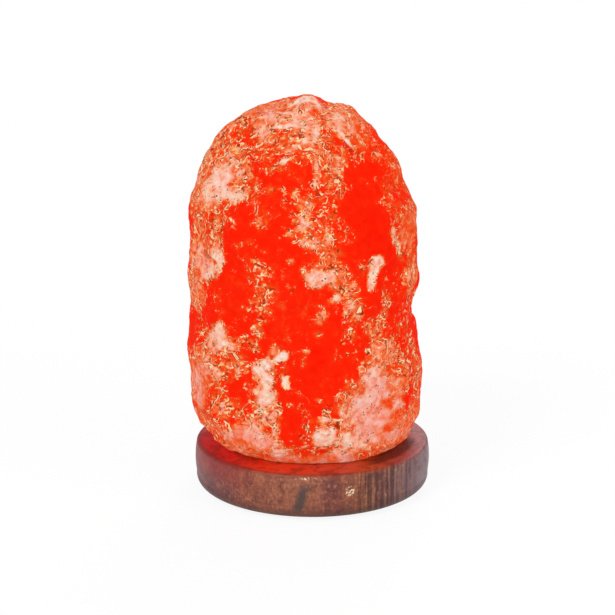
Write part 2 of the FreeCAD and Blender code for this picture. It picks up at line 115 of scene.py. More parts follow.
# Chisel flats: bearing and upward tilt in degrees, then height and distance out in percent
rock_flats = (
    (176, 40, 86, 80),
    (4, 38, 84, 62),
    (232, 34, 84, 66),
    (304, 30, 80, 66),
    (268, 58, 95, 42),
    (60, 33, 83, 65),
    (118, 36, 86, 64),
    (322, 4, 56, 84),
    (214, 6, 62, 91),
    (252, -3, 38, 88),
    (100, 3, 48, 83),
    (40, -6, 30, 85),
    (150, 0, 34, 93),
    (306, -7, 22, 84),
    (345, -30, 8, 84),
    (205, -24, 13, 95),
)
# The bore, and the grid of the rock: columns round it and rows of each part
rock_bore_radius = 23.0
rock_bore_depth = 98.0
rock_bore_cone = 5.0
rock_columns = 310
rock_rows = {"roof": 8, "bore": 36, "foot": 10, "side": 236, "crown": 14}

# How frosted the front of the rock is, as it is seen, painted stroke over stroke: across to the
# right of the axis and up from the foot of the base, half-width, half-height, the level, and the
# lean in degrees to the right where there is one. 0.3 is clear red, 0.5 speckled orange, 0.7
# salmon and 1 nearly white
rock_strokes = (
    # Clear red on the left and in the middle
    (-15, 90, 8, 26, 0.345), (-36, 98, 9, 14, 0.335), (-8, 154, 9, 8, 0.35), (-46, 90, 8, 10, 0.34),
    # Crown
    (-20, 186, 20, 5, 0.60, -14), (17, 188, 12, 5, 0.52, 22), (34, 172, 5, 12, 0.36, -40),
    (43, 152, 7, 16, 0.41, -22), (-56, 158, 5, 13, 0.52, 32), (-45, 166, 9, 12, 0.52, 32),
    (-15, 182, 26, 9, 0.60, 4), (-12, 171, 20, 9, 0.53), (-2, 190, 14, 3, 0.72),
    (-1, 189.5, 9, 1.3, 0.92, 3), (1, 193, 3, 1.2, 0.20), (-20, 182, 11, 4, 0.73, -8),
    (-22, 178, 4, 2.5, 0.74, -10), (8, 186, 4, 2, 0.72, 10), (-4, 180, 8, 7, 0.76),
    (0, 173, 5.5, 5, 0.80), (-26, 175, 6, 4, 0.84, 48), (-15, 178, 6, 1.2, 0.95, -10),
    (-34, 178, 5, 8, 0.44, 20), (-41, 178, 2.5, 14, 0.62, 42), (-34, 170, 3, 3, 0.38),
    (-14, 174, 8, 2.5, 0.52, -8), (-10, 168, 7, 1.8, 0.86, -26), (-14, 162, 5, 1.3, 0.95, -6),
    (-5, 164, 6, 4.5, 0.45), (-20, 157, 10, 2.5, 0.44), (-38, 163, 5, 6, 0.78, 10),
    (-24, 165, 5, 5, 0.50),
    # Upper left
    (-55, 160, 4, 12, 0.58, 28), (-52, 145, 8, 14, 0.66, 10), (-46, 152, 6, 9, 0.86, 15),
    (-40, 144, 7, 5, 0.90), (-50, 146, 4, 8, 0.84), (-36, 154, 5, 7, 0.68), (-35, 146, 3.5, 3, 0.74),
    (-37, 150, 4, 3, 0.56), (-53, 135, 6, 4, 0.48), (-46, 131, 6, 4, 0.52, -20),
    (-58, 134, 3, 10, 0.48), (-28, 149, 3, 5, 0.54), (-30, 141, 5, 6, 0.42), (-22, 146, 2.5, 2.5, 0.56),
    (-15, 147, 2, 2, 0.54),
    # Upper middle
    (9, 153, 8, 14, 0.49), (12, 160, 4, 4, 0.64), (1.5, 153, 2.4, 9, 0.72, 8),
    (2, 165, 5, 6, 0.62, -15), (13, 157, 2.5, 6, 0.66), (12, 144, 3, 5, 0.50), (7, 134, 8, 8, 0.44),
    (-7, 144, 1.6, 4, 0.70), (-4, 138, 5, 5, 0.71), (-5, 131, 4.5, 6, 0.68),
    # Upper right
    (14, 187, 9, 4, 0.60, 15), (13, 181, 5, 6, 0.82, -20), (14, 176, 3, 6, 0.82, -35),
    (21, 178, 7, 7, 0.60, -40), (24, 169, 5, 6, 0.50, -35), (18, 171, 1.5, 7, 0.90, -38),
    (33, 163, 4, 3, 0.50), (6.5, 176, 2.2, 8, 0.42, -10), (38, 143, 4, 8, 0.42, -15),
    (45, 134, 4, 6, 0.48), (47, 150, 3, 24, 0.49, -24), (50, 130, 3, 8, 0.55, -8),
    # Left at half height
    (-57, 110, 5, 18, 0.60), (-58, 94, 3, 10, 0.60), (-50, 123, 4, 9, 0.58), (-49, 112, 3.6, 5, 0.84),
    (-51, 105, 4, 6, 0.84, 10), (-50, 110, 0.9, 2.4, 0.30, -34), (-25, 131, 4.5, 4, 0.53),
    (-35, 118, 3, 2, 0.46), (-24, 105, 6, 8, 0.46), (-27, 109, 3.5, 2, 0.52, -35),
    (-26, 97, 4, 6, 0.41), (-22, 92, 4.5, 6, 0.49), (-24, 85, 3, 5, 0.54, -25), (-27, 76, 3.5, 5, 0.62),
    (-47, 75, 5, 4.5, 0.80), (-46, 69, 9, 5, 0.84, 10), (-51, 72, 4, 3, 0.76), (-36, 70, 5, 3, 0.54),
    (-57, 76, 3, 5, 0.46),
    # Middle
    (-11, 123, 3, 3, 0.74), (-5, 127, 4, 2.5, 0.84, -40), (1, 122, 9, 7, 0.54),
    (-2, 118, 7, 3, 0.72, 10), (8, 120, 2.5, 6, 0.74), (6, 128, 4, 3, 0.50), (8, 112, 6, 5, 0.54),
    (1, 102, 6, 5, 0.86), (8, 103, 6, 4, 0.80), (15, 104, 4, 4, 0.60), (12, 98, 3, 2, 0.62),
    (3, 108, 5, 2, 0.60), (25, 108, 2, 4, 0.45), (17, 96, 7, 6, 0.58, -25), (12, 91, 3.5, 2.5, 0.84),
    (19, 88, 3.5, 3, 0.68), (17, 84, 2, 2.5, 0.82), (23, 84, 3, 6, 0.60), (18, 78, 3, 4, 0.48),
    (5, 82, 1.6, 3.5, 0.62, 25), (-11, 110, 1.6, 1.8, 0.66), (-5, 106, 1.4, 2.5, 0.66, -40),
    (3, 72, 2.2, 2.2, 0.50), (-13, 71, 2, 2.5, 0.48),
    # Right at half height
    (33, 110, 4.5, 2.5, 0.92), (31, 104, 3.2, 5.5, 0.90, 8), (30, 99, 3, 2.5, 0.90),
    (47, 121, 5, 9, 0.53, -8), (42, 121, 1.7, 9, 0.74, -15), (50, 104, 4, 8, 0.64),
    (50, 88, 2, 3, 0.46), (38, 91, 3, 6, 0.56), (36, 81, 2, 4, 0.60, 10), (44, 77, 2, 2, 0.50),
    (31, 76, 2.5, 6, 0.58, -10), (37, 69, 6, 3, 0.70, -10), (20, 72, 3, 4, 0.48),
    # Lower left
    (-57, 48, 5, 18, 0.70), (-55, 63, 6, 6, 0.58, 20), (-51, 57, 4, 6, 0.66), (-42, 58, 9, 7, 0.48),
    (-48, 63.5, 2, 1.5, 0.72), (-37, 56, 2, 4, 0.70, 10), (-35, 56, 4, 4, 0.58),
    (-29, 67, 3, 3.5, 0.56), (-49, 41, 6, 11, 0.43), (-45, 36, 5, 4, 0.68), (-46, 43, 3, 3, 0.56),
    (-38, 34, 5, 5, 0.50), (-31, 40, 3, 8, 0.42), (-48, 50, 5, 3, 0.54), (-25, 57, 5.5, 4.5, 0.92, 20),
    (-15, 61, 3.8, 2.1, 1.0), (-20, 60, 3.4, 1.8, 0.90), (-22, 49, 4, 4.5, 0.92, -20),
    (-26, 46, 2.8, 4, 0.84), (-23, 41, 4.5, 5, 0.92), (-14, 49, 1.8, 4.2, 0.98, -8),
    (-25, 35, 4, 3.5, 0.76), (-28, 31, 4, 3, 0.62), (-22, 31, 6, 3.5, 0.82, -30),
    (-18, 34, 2.5, 6, 0.62), (-11, 38, 2, 1.5, 0.66), (-50, 26, 6, 5, 0.50, 35),
    (-54, 26, 3, 4, 0.62, 30), (-50, 55, 4, 4, 0.70), (-40, 23, 8, 4.5, 0.64, 15),
    (-31, 26, 7, 4, 0.72), (-26, 20, 9, 5, 0.74, 8), (-18, 23, 3, 6, 0.68),
    (-36, 16, 14, 2.6, 0.60, 22),
    # Foot, and the edges higher up
    (0, 10, 34, 3, 0.60), (-15, 14, 6, 3, 0.82, 5), (-17, 18, 2.4, 2, 0.78), (-12, 11, 7, 2, 0.64),
    (53, 33, 4, 8, 0.64), (46, 31, 4, 4, 0.62), (-9, 15, 3, 2, 0.62), (-59, 133, 3, 12, 0.55),
    (-59, 103, 3, 10, 0.60), (51, 97, 3, 8, 0.60), (35, 75, 3, 3, 0.55), (-6, 14, 6, 2.5, 0.46),
    (-1.5, 20, 3.5, 6, 0.46),
    # Lower right
    (28, 34, 11, 16, 0.74, -32), (25, 21, 18, 7, 0.72, -14), (40, 22, 9, 4, 0.68, -38),
    (32, 50, 7, 9, 0.80, -15), (33, 58, 4, 3, 0.74), (38, 45, 4, 5, 0.78), (38, 33, 5, 4, 0.72),
    (15, 29, 8, 3, 0.74, -10), (27, 41, 6, 4, 0.80), (17, 35, 4, 3, 0.70, -30), (42, 47, 4, 12, 0.60),
    (44, 38, 2.6, 4, 0.80), (32, 64, 5, 4, 0.72), (39, 62, 5, 6, 0.64), (45, 60, 3.5, 7, 0.58),
    (46, 51, 3, 6, 0.54), (49, 66, 3, 5, 0.42), (26, 57, 2, 5, 0.56), (53, 52, 2.5, 22, 0.52, -4),
    (4, 21, 4, 5.5, 0.92), (10, 22, 4, 4, 0.92), (8, 29.5, 5, 2, 0.78, -12), (17, 19, 4.5, 4.5, 0.88),
    (14, 13, 7, 2.5, 0.76), (9, 15.5, 5, 1.2, 0.48), (13, 22, 1.2, 2.6, 0.40, -20),
    (12, 27, 4, 1.5, 0.48, -12), (38, 39, 3, 2.5, 0.52), (38.5, 27, 3.2, 2, 0.40),
    (44, 33, 2, 3.5, 0.44), (46, 24, 5, 6, 0.62), (36, 14, 9, 3, 0.60, -24),
    (35, 18, 3, 1.4, 0.52, -14),
    # Small spots in the lower middle
    (-3, 63, 1.4, 3, 0.62, 12), (18, 49, 2.2, 1.4, 0.52), (7.5, 34, 1.3, 3, 0.66, -25),
    (4, 39, 1.4, 1.6, 0.62), (14, 43, 1.6, 1.4, 0.58),
    # Last touches all over
    (-36, 165, 5, 4, 0.50), (-8, 165, 6, 3, 0.42), (26, 166, 5, 4, 0.42, -35), (-45, 131, 4, 5, 0.42),
    (15, 124, 3, 5, 0.36), (6, 146, 2, 5, 0.44), (18, 76, 2, 5, 0.38), (48, 85, 3, 4, 0.36),
    (33, 79, 3, 3, 0.42), (-20, 64, 2.5, 3, 0.66), (-28, 51, 2.5, 2.5, 0.70), (-5, 60, 2.5, 5, 0.40),
    (-30, 90, 2, 4, 0.50), (-56, 112, 4, 6, 0.70),
)
# Where the crystal is smooth instead of flecked with painted highlights and shadows, painted the same way
calm_strokes = (
    (35, 34, 18, 26, 0.90, -10), (48, 124, 5, 18, 0.85), (24, 176, 9, 11, 0.65, -35),
    (-22, 185, 14, 5, 0.65, -10), (-55, 112, 5, 24, 0.60), (-57, 46, 6, 22, 0.85),
    (-32, 20, 18, 7, 0.85, 15), (-44, 150, 8, 12, 0.60, 15), (3, 188, 10, 4, 0.60),
    (0, 62, 12, 28, 0.60), (26, 135, 8, 22, 0.70), (0, 10, 46, 3.5, 0.90), (-14, 88, 8, 27, 0.80),
    (-41, 96, 8, 15, 0.85), (-8, 152, 8, 6, 0.60), (-31, 122, 13, 8, 0.60), (38, 158, 7, 20, 0.75, -24),
)
# Nicks (negative) and lumps in the outline, as seen: across, up, radius and how far they go
rock_dents = (
    (-2, 191, 5, 1.8), (9, 187, 6, -2.6), (-61, 133, 9, -1.3),
    (-61, 104, 7, -0.8), (-61, 76, 8, -0.8), (-63, 60, 12, 0.8),
    (51, 110, 8, -1.2), (51, 90, 6, -1.4), (46, 15, 7, -2.2),
)
# How far the foot of the rock spreads on the wood, and up to what height
rock_spread = (4.5, 9.5)
# How sharp the edge of a stroke is, by its level: levels, then sharpnesses
stroke_sharpness = ((0.5, 0.9), (1.2, 2.8))
calm_sharpness = ((0, 1), (1.3, 1.3))
# How far the strokes' edges wander: size of the waves, reach and the two seeds
stroke_wander = ((8.0, 1.5, 31, 32), (3.5, 1.3, 33, 34))
# How the painted front gives way to the sides, by how much the surface faces the camera
front_edge = (5.0, 1.1)
# Even level, then waves by size, reach and seed: how frosted the rock is where no stroke goes, and
# how smooth
frost_behind = 0.54, ((21.0, 0.40, 21), (9.0, 0.20, 22))
frost_in_front = 0.29, ((14.0, 0.10, 23),)
frost_inside = 0.35, ((12.0, 0.30, 24),)
calm_behind = 0.45, ((16.0, 0.90, 25),)
calm_limits = (0.05, 0.9)
calm_in_front = 0.1
calm_inside = 0.5
# Small flats and pits of the surface
hewn_planes = 420
hewn_reach = 15.0
hewn_depth = (0.1, 0.8)
hewn_deepest = 3.0
hewn_jitter = 0.13
hewn_seed = 5
pit_count = 260
pit_radius = (1.6, 5.0)
pit_depth = (0.15, 0.7)
pit_seed = 8
# Points of the crown that no flat or pit is centred on
crown_points = 3000
# Relief of the rock: how far it stands out, then waves by size, reach and seed, and over how many
# rows it grows at the foot and fades at the crown
rock_relief = 0.5, ((11.0, 0.5, 12), (5.0, 0.38, 13), (2.4, 0.22, 14))
relief_rows = (6.0, 4.0)

# Threads: rows of points to a pitch, and the round thread that the screw shell and the cap share
rows_per_pitch = 10
round_thread_pitch = 2.822
round_thread_lift = 0.5
round_thread_columns = 72
# Screw shell: plain stretch at the foot and at the lip, height over which the thread grows, start
# and climb of the inner bend, the outer bend, and the lip by how far out and up from the inner wall
shell_wall = 0.35
shell_hole_radius = 5.0
shell_plain = (0.8, 0.6)
shell_growth = 1.5
shell_inner_bend = (0.4, 0.25)
shell_outer_bend = 0.3
shell_lip = ((0.3, 0.0), (0.5, 0.02), (0.65, -0.1), (0.5, -0.4))
# Bulb cap: the same, then the sloped step up to the collar round the glass. The shoulder is given by
# how far in from the collar and up from its foot it starts, and the rim by how far in and down
cap_wall = 0.3
cap_crest_radius = 6.8
cap_plain = (0.5, 0.4)
cap_growth = 1.2
cap_slope_height = 2.0
cap_slope_start = 0.25
cap_collar_height = 4.0
cap_shoulder = (0.5, -0.35)
cap_shoulder_top = 0.3
cap_rim = (0.08, 0.25)
cap_sunk = 0.05
cap_slope_lift = 0.2
# Nipple: thread and bore, and the ease of both ends
nipple_pitch = 1.0
nipple_thread = 0.55
nipple_growth = 0.6
nipple_bore = 3.75
nipple_ease = 0.3
nipple_sunk = 0.1
nipple_columns = 64
nipple_bore_rows = 12
# Wood screws: where they stand, and the ridge of the thread by half-width, height and how far its
# foot is sunk. It grows over a share of its length at both ends
screw_circle_radius = 31.0
screw_angles = (30.0, 150.0, 270.0)
screw_thread_length = 26.0
screw_core_radius = 2.0
screw_point = 5.0
screw_plain_tip = 1.0
screw_pitch = 1.8
screw_rows_per_turn = 14
screw_ridge = (0.35, 0.38, 0.1)
screw_growth = 0.05
# Filament
coil_radius = 0.35
coil_turns = 34
coil_rows_per_turn = 12
wire_radius = 0.07
wire_sides = 7
# Felt: how square its section is, how much its oval stands in, its fuzz as waves by size, reach and
# seed, and how much of the fuzz shows on its upper side
felt_width = 12.0
felt_gap = 12.0
felt_squareness = 0.35
felt_inset = 0.15
felt_rows = 260
felt_columns = 28
felt_fuzz = ((1.7, 0.22, 51), (5.0, 0.15, 52))
felt_upper_fuzz = 0.2

# The width of the wood's pattern in metres, and the grey that dims the diffuse colour of what glows
pattern_width = 0.12
glow_share = (165, 165, 165)


def rgb(red, green, blue):
    """A colour given as it looks on a screen, 0 to 255, as the linear values that a shader takes."""
    shares = np.array([red, green, blue]) / 255.0
    linear = np.where(shares <= 0.04045, shares / 12.92, ((shares + 0.055) / 1.055) ** 2.4)
    return (*[float(v) for v in linear], 1.0)


def placed(name, data):
    """A new object at the origin, linked into the scene."""
    item = bpy.data.objects.new(name, data)
    bpy.context.scene.collection.objects.link(item)
    return item


def surface(name, grid, ring=False):
    """A mesh from a grid of points, rows by columns, whose columns close round. The rows close
    round too for a ring; otherwise the first and the last row are one point each, a pole."""
    rows, columns = grid.shape[:2]
    index = np.arange(rows * columns).reshape(rows, columns)
    index = np.hstack([index, index[:, :1]])
    band = np.vstack([index, index[:1]]) if ring else index[1:-1]
    quads = np.stack([band[:-1, :-1], band[:-1, 1:], band[1:, 1:], band[1:, :-1]], -1)
    faces = quads.reshape(-1, 4).tolist()
    if not ring:
        first, last = index[1], index[-2]
        faces += np.stack([np.full(columns, index[0, 0]), first[1:], first[:-1]], -1).tolist()
        faces += np.stack([np.full(columns, index[-1, 0]), last[:-1], last[1:]], -1).tolist()
    mesh = bpy.data.meshes.new(name)
    mesh.from_pydata(grid.reshape(-1, 3) / METRE, [], faces)
    return mesh


def settle(name, mesh, body, finish, slot, *replaced):
    """Puts a mesh into the scene as a finished piece: loose points out, faces outwards, its material, the
    body that it rides on and the nodes that it replaces. Its slot is not used."""
    work = bmesh.new()
    work.from_mesh(mesh)
    stray = [v for v in work.verts if not v.link_faces]
    bmesh.ops.delete(work, geom=stray, context="VERTS")
    bmesh.ops.recalc_face_normals(work, faces=work.faces)
    work.to_mesh(mesh)
    work.free()
    mesh.polygons.foreach_set("use_smooth", np.full(len(mesh.polygons), True))
    mesh.materials.append(finish)
    piece = placed(name, mesh)
    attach(piece, body)
    if replaced:
        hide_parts(*replaced)


def waves(points, size, seed):
    """Smooth random waves from -1 to 1: random heights on a cubic lattice of the given size,
    blended between its corners by an eased step."""
    lattice = np.random.default_rng(seed).uniform(-1, 1, (24, 24, 24))
    place = points / size + 100.0
    cell = np.floor(place).astype(int)
    t = place - cell
    t = t * t * (3 - 2 * t)
    total = np.zeros(points.shape[:-1])
    for corner in np.ndindex(2, 2, 2):
        share = np.prod(np.where(np.array(corner) == 1, t, 1 - t), axis=-1)
        i, j, k = np.moveaxis((cell + np.array(corner)) % 24, -1, 0)
        total += share * lattice[i, j, k]
    return total


def wavy(points, level, rows):
    """A level with waves on it, each by its size, reach and seed."""
    return level + sum(reach * waves(points, size, seed) for size, reach, seed in rows)


def unit(vectors):
    """Each vector at length 1."""
    return vectors / np.maximum(np.linalg.norm(vectors, axis=-1, keepdims=True), 1e-9)


def picture(points):
    """Where points are seen in the photograph, across and up from the middle of the base's foot in
    millimetres at the lamp's axis, and the direction towards the camera."""
    lift = math.radians(view_elevation)
    ahead = np.array([0, math.cos(lift), -math.sin(lift)])
    upward = np.array([0, math.sin(lift), math.cos(lift)])

    def flat(p):
        depth = view_distance + (p - aim) @ ahead
        return np.stack([(p[..., 0] - aim[0]), (p - aim) @ upward], -1) * (view_distance / depth)[..., None]

    return flat(points) - flat(np.zeros(3)), -ahead


# Rock

def rock_corners():
    """The corners of the rock's facets, row by row: a squarish oval that reaches differently far to
    each side, with low ripples that drift round as the rock rises. Every second row is turned by
    half a facet, and all corners but those of the first and last row are moved a little."""
    draw = random.Random(rock_hewn_seed)
    levels = [row[0] * rock_height / 100 for row in rock_sections]
    rows = []
    for k, (share_up, *reaches) in enumerate(rock_sections):
        left, right, front, back = [reach * rock_half_width / 100 for reach in reaches]
        inner = 0 < k < len(levels) - 1
        room = min(levels[k] - levels[k - 1], levels[k + 1] - levels[k]) if inner else 0
        for i in range(rock_facets_round):
            a = TURN * (i + k % 2 / 2) / rock_facets_round
            c, s = math.cos(a), math.sin(a)
            oval = (abs(c) ** rock_squareness + abs(s) ** rock_squareness) ** (-1 / rock_squareness)
            for size, count, phase, drift in rock_ripples:
                oval *= 1 + size * math.sin(count * a + math.radians(phase) + TURN * drift * share_up / 100)
            out = draw.uniform(-rock_hewn_reach, rock_hewn_reach) if inner else 0
            x = c * (oval * (right if c > 0 else left) + out)
            y = s * (oval * (back if s > 0 else front) + out)
            stray = room * draw.uniform(-rock_hewn_stray, rock_hewn_stray)
            rows.append((x, y, wood_top + levels[k] + stray))
    return np.array(rows).reshape(len(levels), rock_facets_round, 3)


def chiselled(points):
    """Draws points in towards the axis where they stand out past one of the large flats."""
    for bearing, tilt, share_up, share_out in rock_flats:
        b, t = math.radians(bearing), math.radians(tilt)
        height, distance = share_up * rock_height / 100, share_out * rock_half_width / 100
        facing = np.array([math.cos(t) * math.cos(b), math.cos(t) * math.sin(b), math.sin(t)])
        seat = np.array([distance * math.cos(b), distance * math.sin(b), wood_top + height])
        outward = points[..., :2] @ facing[:2]
        room = facing @ seat - facing[2] * points[..., 2]
        share = np.where(outward > 1, np.clip(room / np.maximum(outward, 1), 0.02, 1), 1)
        points[..., :2] *= share[..., None]
    return points


def rock_skin():
    """The rock's outside as a grid. Each point lies on the flat triangle between the corners of
    two rows that its row and column fall in, and the last outline is drawn in to a pole."""
    corners = rock_corners()
    half_width = np.hypot(corners[..., 0], corners[..., 1]).mean(1)
    steps = np.hypot(np.diff(half_width), np.diff(corners[..., 2].mean(1)))
    along = np.concatenate([[0], np.cumsum(steps)])
    level = np.interp(np.linspace(0, along[-1], rock_rows["side"]), along, np.arange(len(corners)))
    row = np.minimum(level.astype(int), len(corners) - 2)[:, None]
    t = level[:, None] - row
    even = row % 2 == 0
    round_about = np.arange(rock_columns) * rock_facets_round / rock_columns - np.where(even, t, 1 - t) / 2
    column = np.floor(round_about).astype(int)
    w = round_about - column
    i, j = column % rock_facets_round, (column + 1) % rock_facets_round
    lower_i, lower_j = corners[row, i], corners[row, j]
    upper_i, upper_j = corners[row + 1, i], corners[row + 1, j]
    w, t, even = w[..., None], np.broadcast_to(t, w.shape)[..., None], even[..., None]
    leaning = np.where(
        w + t < 1,
        lower_i + w * (lower_j - lower_i) + t * (upper_i - lower_i),
        upper_j + (1 - w) * (upper_i - upper_j) + (1 - t) * (lower_j - upper_j),
    )
    crossing = np.where(
        w > t,
        lower_i + w * (lower_j - lower_i) + t * (upper_j - lower_j),
        lower_i + t * (upper_i - lower_i) + w * (upper_j - upper_i),
    )
    side = np.where(even, leaning, crossing)
    shrink = np.linspace(1, 0, rock_rows["crown"] + 1)[1:, None, None]
    middle = side[-1].mean(0)
    crown = middle + (side[-1] - middle) * shrink
    return chiselled(np.concatenate([side, crown]))


def facing_out(grid):
    """The outward direction at each point of a skin that runs from the foot up to a pole."""
    round_about = np.roll(grid, -1, 1) - np.roll(grid, 1, 1)
    upwards = np.gradient(grid, axis=0)
    outward = unit(np.cross(round_about, upwards))
    outward[-1] = (0, 0, 1)
    return outward


def hewn(grid, outward):
    """How far the skin is cut back by many small flats: each is a plane that lies a little under
    the surface at a random point, tilted a little, and works only close to that point."""
    draw = np.random.default_rng(hewn_seed)
    points = grid.reshape(-1, 3)
    normals = outward.reshape(-1, 3)
    picked = draw.choice(len(points) - crown_points, hewn_planes, replace=False)
    facings = unit(normals[picked] + draw.normal(0, hewn_jitter, (hewn_planes, 3)))
    depths = draw.uniform(*hewn_depth, hewn_planes)
    cut = np.zeros(len(points))
    for seat, facing, depth in zip(points[picked], facings, depths):
        away = points - seat
        near = np.clip(2 - 2 * np.linalg.norm(away, axis=1) / hewn_reach, 0, 1)
        cut = np.maximum(cut, np.clip(away @ facing + depth, 0, hewn_deepest) * near)
    return -cut.reshape(grid.shape[:2])


def pitted(grid):
    """How far the skin dips in small round pits: each one a bell-shaped dip."""
    draw = np.random.default_rng(pit_seed)
    points = grid.reshape(-1, 3)
    picked = draw.choice(len(points) - crown_points, pit_count, replace=False)
    radii = draw.uniform(*pit_radius, pit_count)
    depths = draw.uniform(*pit_depth, pit_count)
    dip = np.zeros(len(points))
    for seat, radius, depth in zip(points[picked], radii, depths):
        dip += depth * np.exp(-((np.linalg.norm(points - seat, axis=1) / radius) ** 2) * 2)
    return -dip.reshape(grid.shape[:2])


def leaning_bell(seen, across, up, half_width, half_height, sharpness=1.3, lean=0):
    """A flat-topped bell over the picture plane, 1 in its middle: exp of minus a power of the
    squared distance, measured in half-widths along axes that lean to the right."""
    t = math.radians(lean)
    dx, dy = seen[..., 0] - across, seen[..., 1] - up
    u = (dx * math.cos(t) - dy * math.sin(t)) / half_width
    v = (dx * math.sin(t) + dy * math.cos(t)) / half_height
    return np.exp(-((u * u + v * v) ** sharpness))


def painted(seen, ground, strokes, sharpness):
    """A ground with strokes laid over it, one after the other: each draws what is under its bell
    to its own level."""
    for across, up, half_width, half_height, level, *lean in strokes:
        edge = np.interp(level, *sharpness)
        share = leaning_bell(seen, across, up, half_width, half_height, edge, *lean)
        ground = ground + share * (level - ground)
    return ground


def salt_rock():
    """The hollow rock as one closed skin: from the roof of the bore down its wall, out under the
    foot, up the outside and over the crown, with its relief and the attributes that say where the
    crystal is frosted and where it is smooth."""
    skin = rock_skin()
    outward = facing_out(skin)
    seen, to_camera = picture(skin)
    front = np.clip((outward @ to_camera) * front_edge[0] + front_edge[1], 0, 1)
    relief = wavy(skin, *rock_relief) + hewn(skin, outward) + pitted(skin)
    dents = sum(depth * leaning_bell(seen, across, up, r, r) for across, up, r, depth in rock_dents)
    rows_up = np.arange(len(skin))[:, None]
    grown = np.clip(rows_up / relief_rows[0], 0, 1) * np.clip((rows_up[-1] - rows_up) / relief_rows[1], 0, 1)
    spread = rock_spread[0] * np.clip(1 - (skin[..., 2] - wood_top) / rock_spread[1], 0, 1) ** 2
    away = unit(skin * (1, 1, 0)) * spread[..., None]
    skin = skin + away + outward * (relief * grown + dents)[..., None]
    skin[-1] = skin[-2].mean(0)

    for size, reach, *seeds in stroke_wander:
        seen = seen + reach * np.stack([waves(skin, size, seed) for seed in seeds], -1)
    behind = wavy(skin, *frost_behind)
    frost = painted(seen, wavy(skin, *frost_in_front), rock_strokes, stroke_sharpness)
    frost = behind + (frost - behind) * front
    patchy = np.clip(wavy(skin, *calm_behind), *calm_limits)
    calm = painted(seen, calm_in_front, calm_strokes, calm_sharpness)
    calm = patchy + (calm - patchy) * front

    a = np.arange(rock_columns) * TURN / rock_columns
    ring = np.stack([np.cos(a), np.sin(a), 0 * a], -1)
    roof_top = wood_top + rock_bore_depth
    roof_share = np.linspace(0, 1, rock_rows["roof"])[:, None, None]
    roof = ring * rock_bore_radius * roof_share + (0, 0, 1) * (roof_top - rock_bore_cone * roof_share)
    bore_height = np.linspace(roof_top - rock_bore_cone, wood_top, rock_rows["bore"])[1:, None, None]
    bore = ring * rock_bore_radius + np.array([0, 0, 1]) * bore_height
    foot_share = np.linspace(0, 1, rock_rows["foot"])[1:-1, None, None]
    foot = bore[-1] + (skin[0] - bore[-1]) * foot_share
    inside = np.concatenate([roof, bore, foot])
    mesh = surface("salt_rock_hewn", np.concatenate([inside, skin]))
    frost = np.concatenate([wavy(inside, *frost_inside), frost])
    calm = np.concatenate([np.full(inside.shape[:2], calm_inside), calm])
    for label, values in (("frost", frost), ("calm", calm)):
        attribute = mesh.attributes.new(label, "FLOAT", "POINT")
        attribute.data.foreach_set("value", values.reshape(-1).astype(np.float32))
    settle("salt_rock_hewn", mesh, "lamp", lit_salt(), "salt", "salt_rock")


# Materials

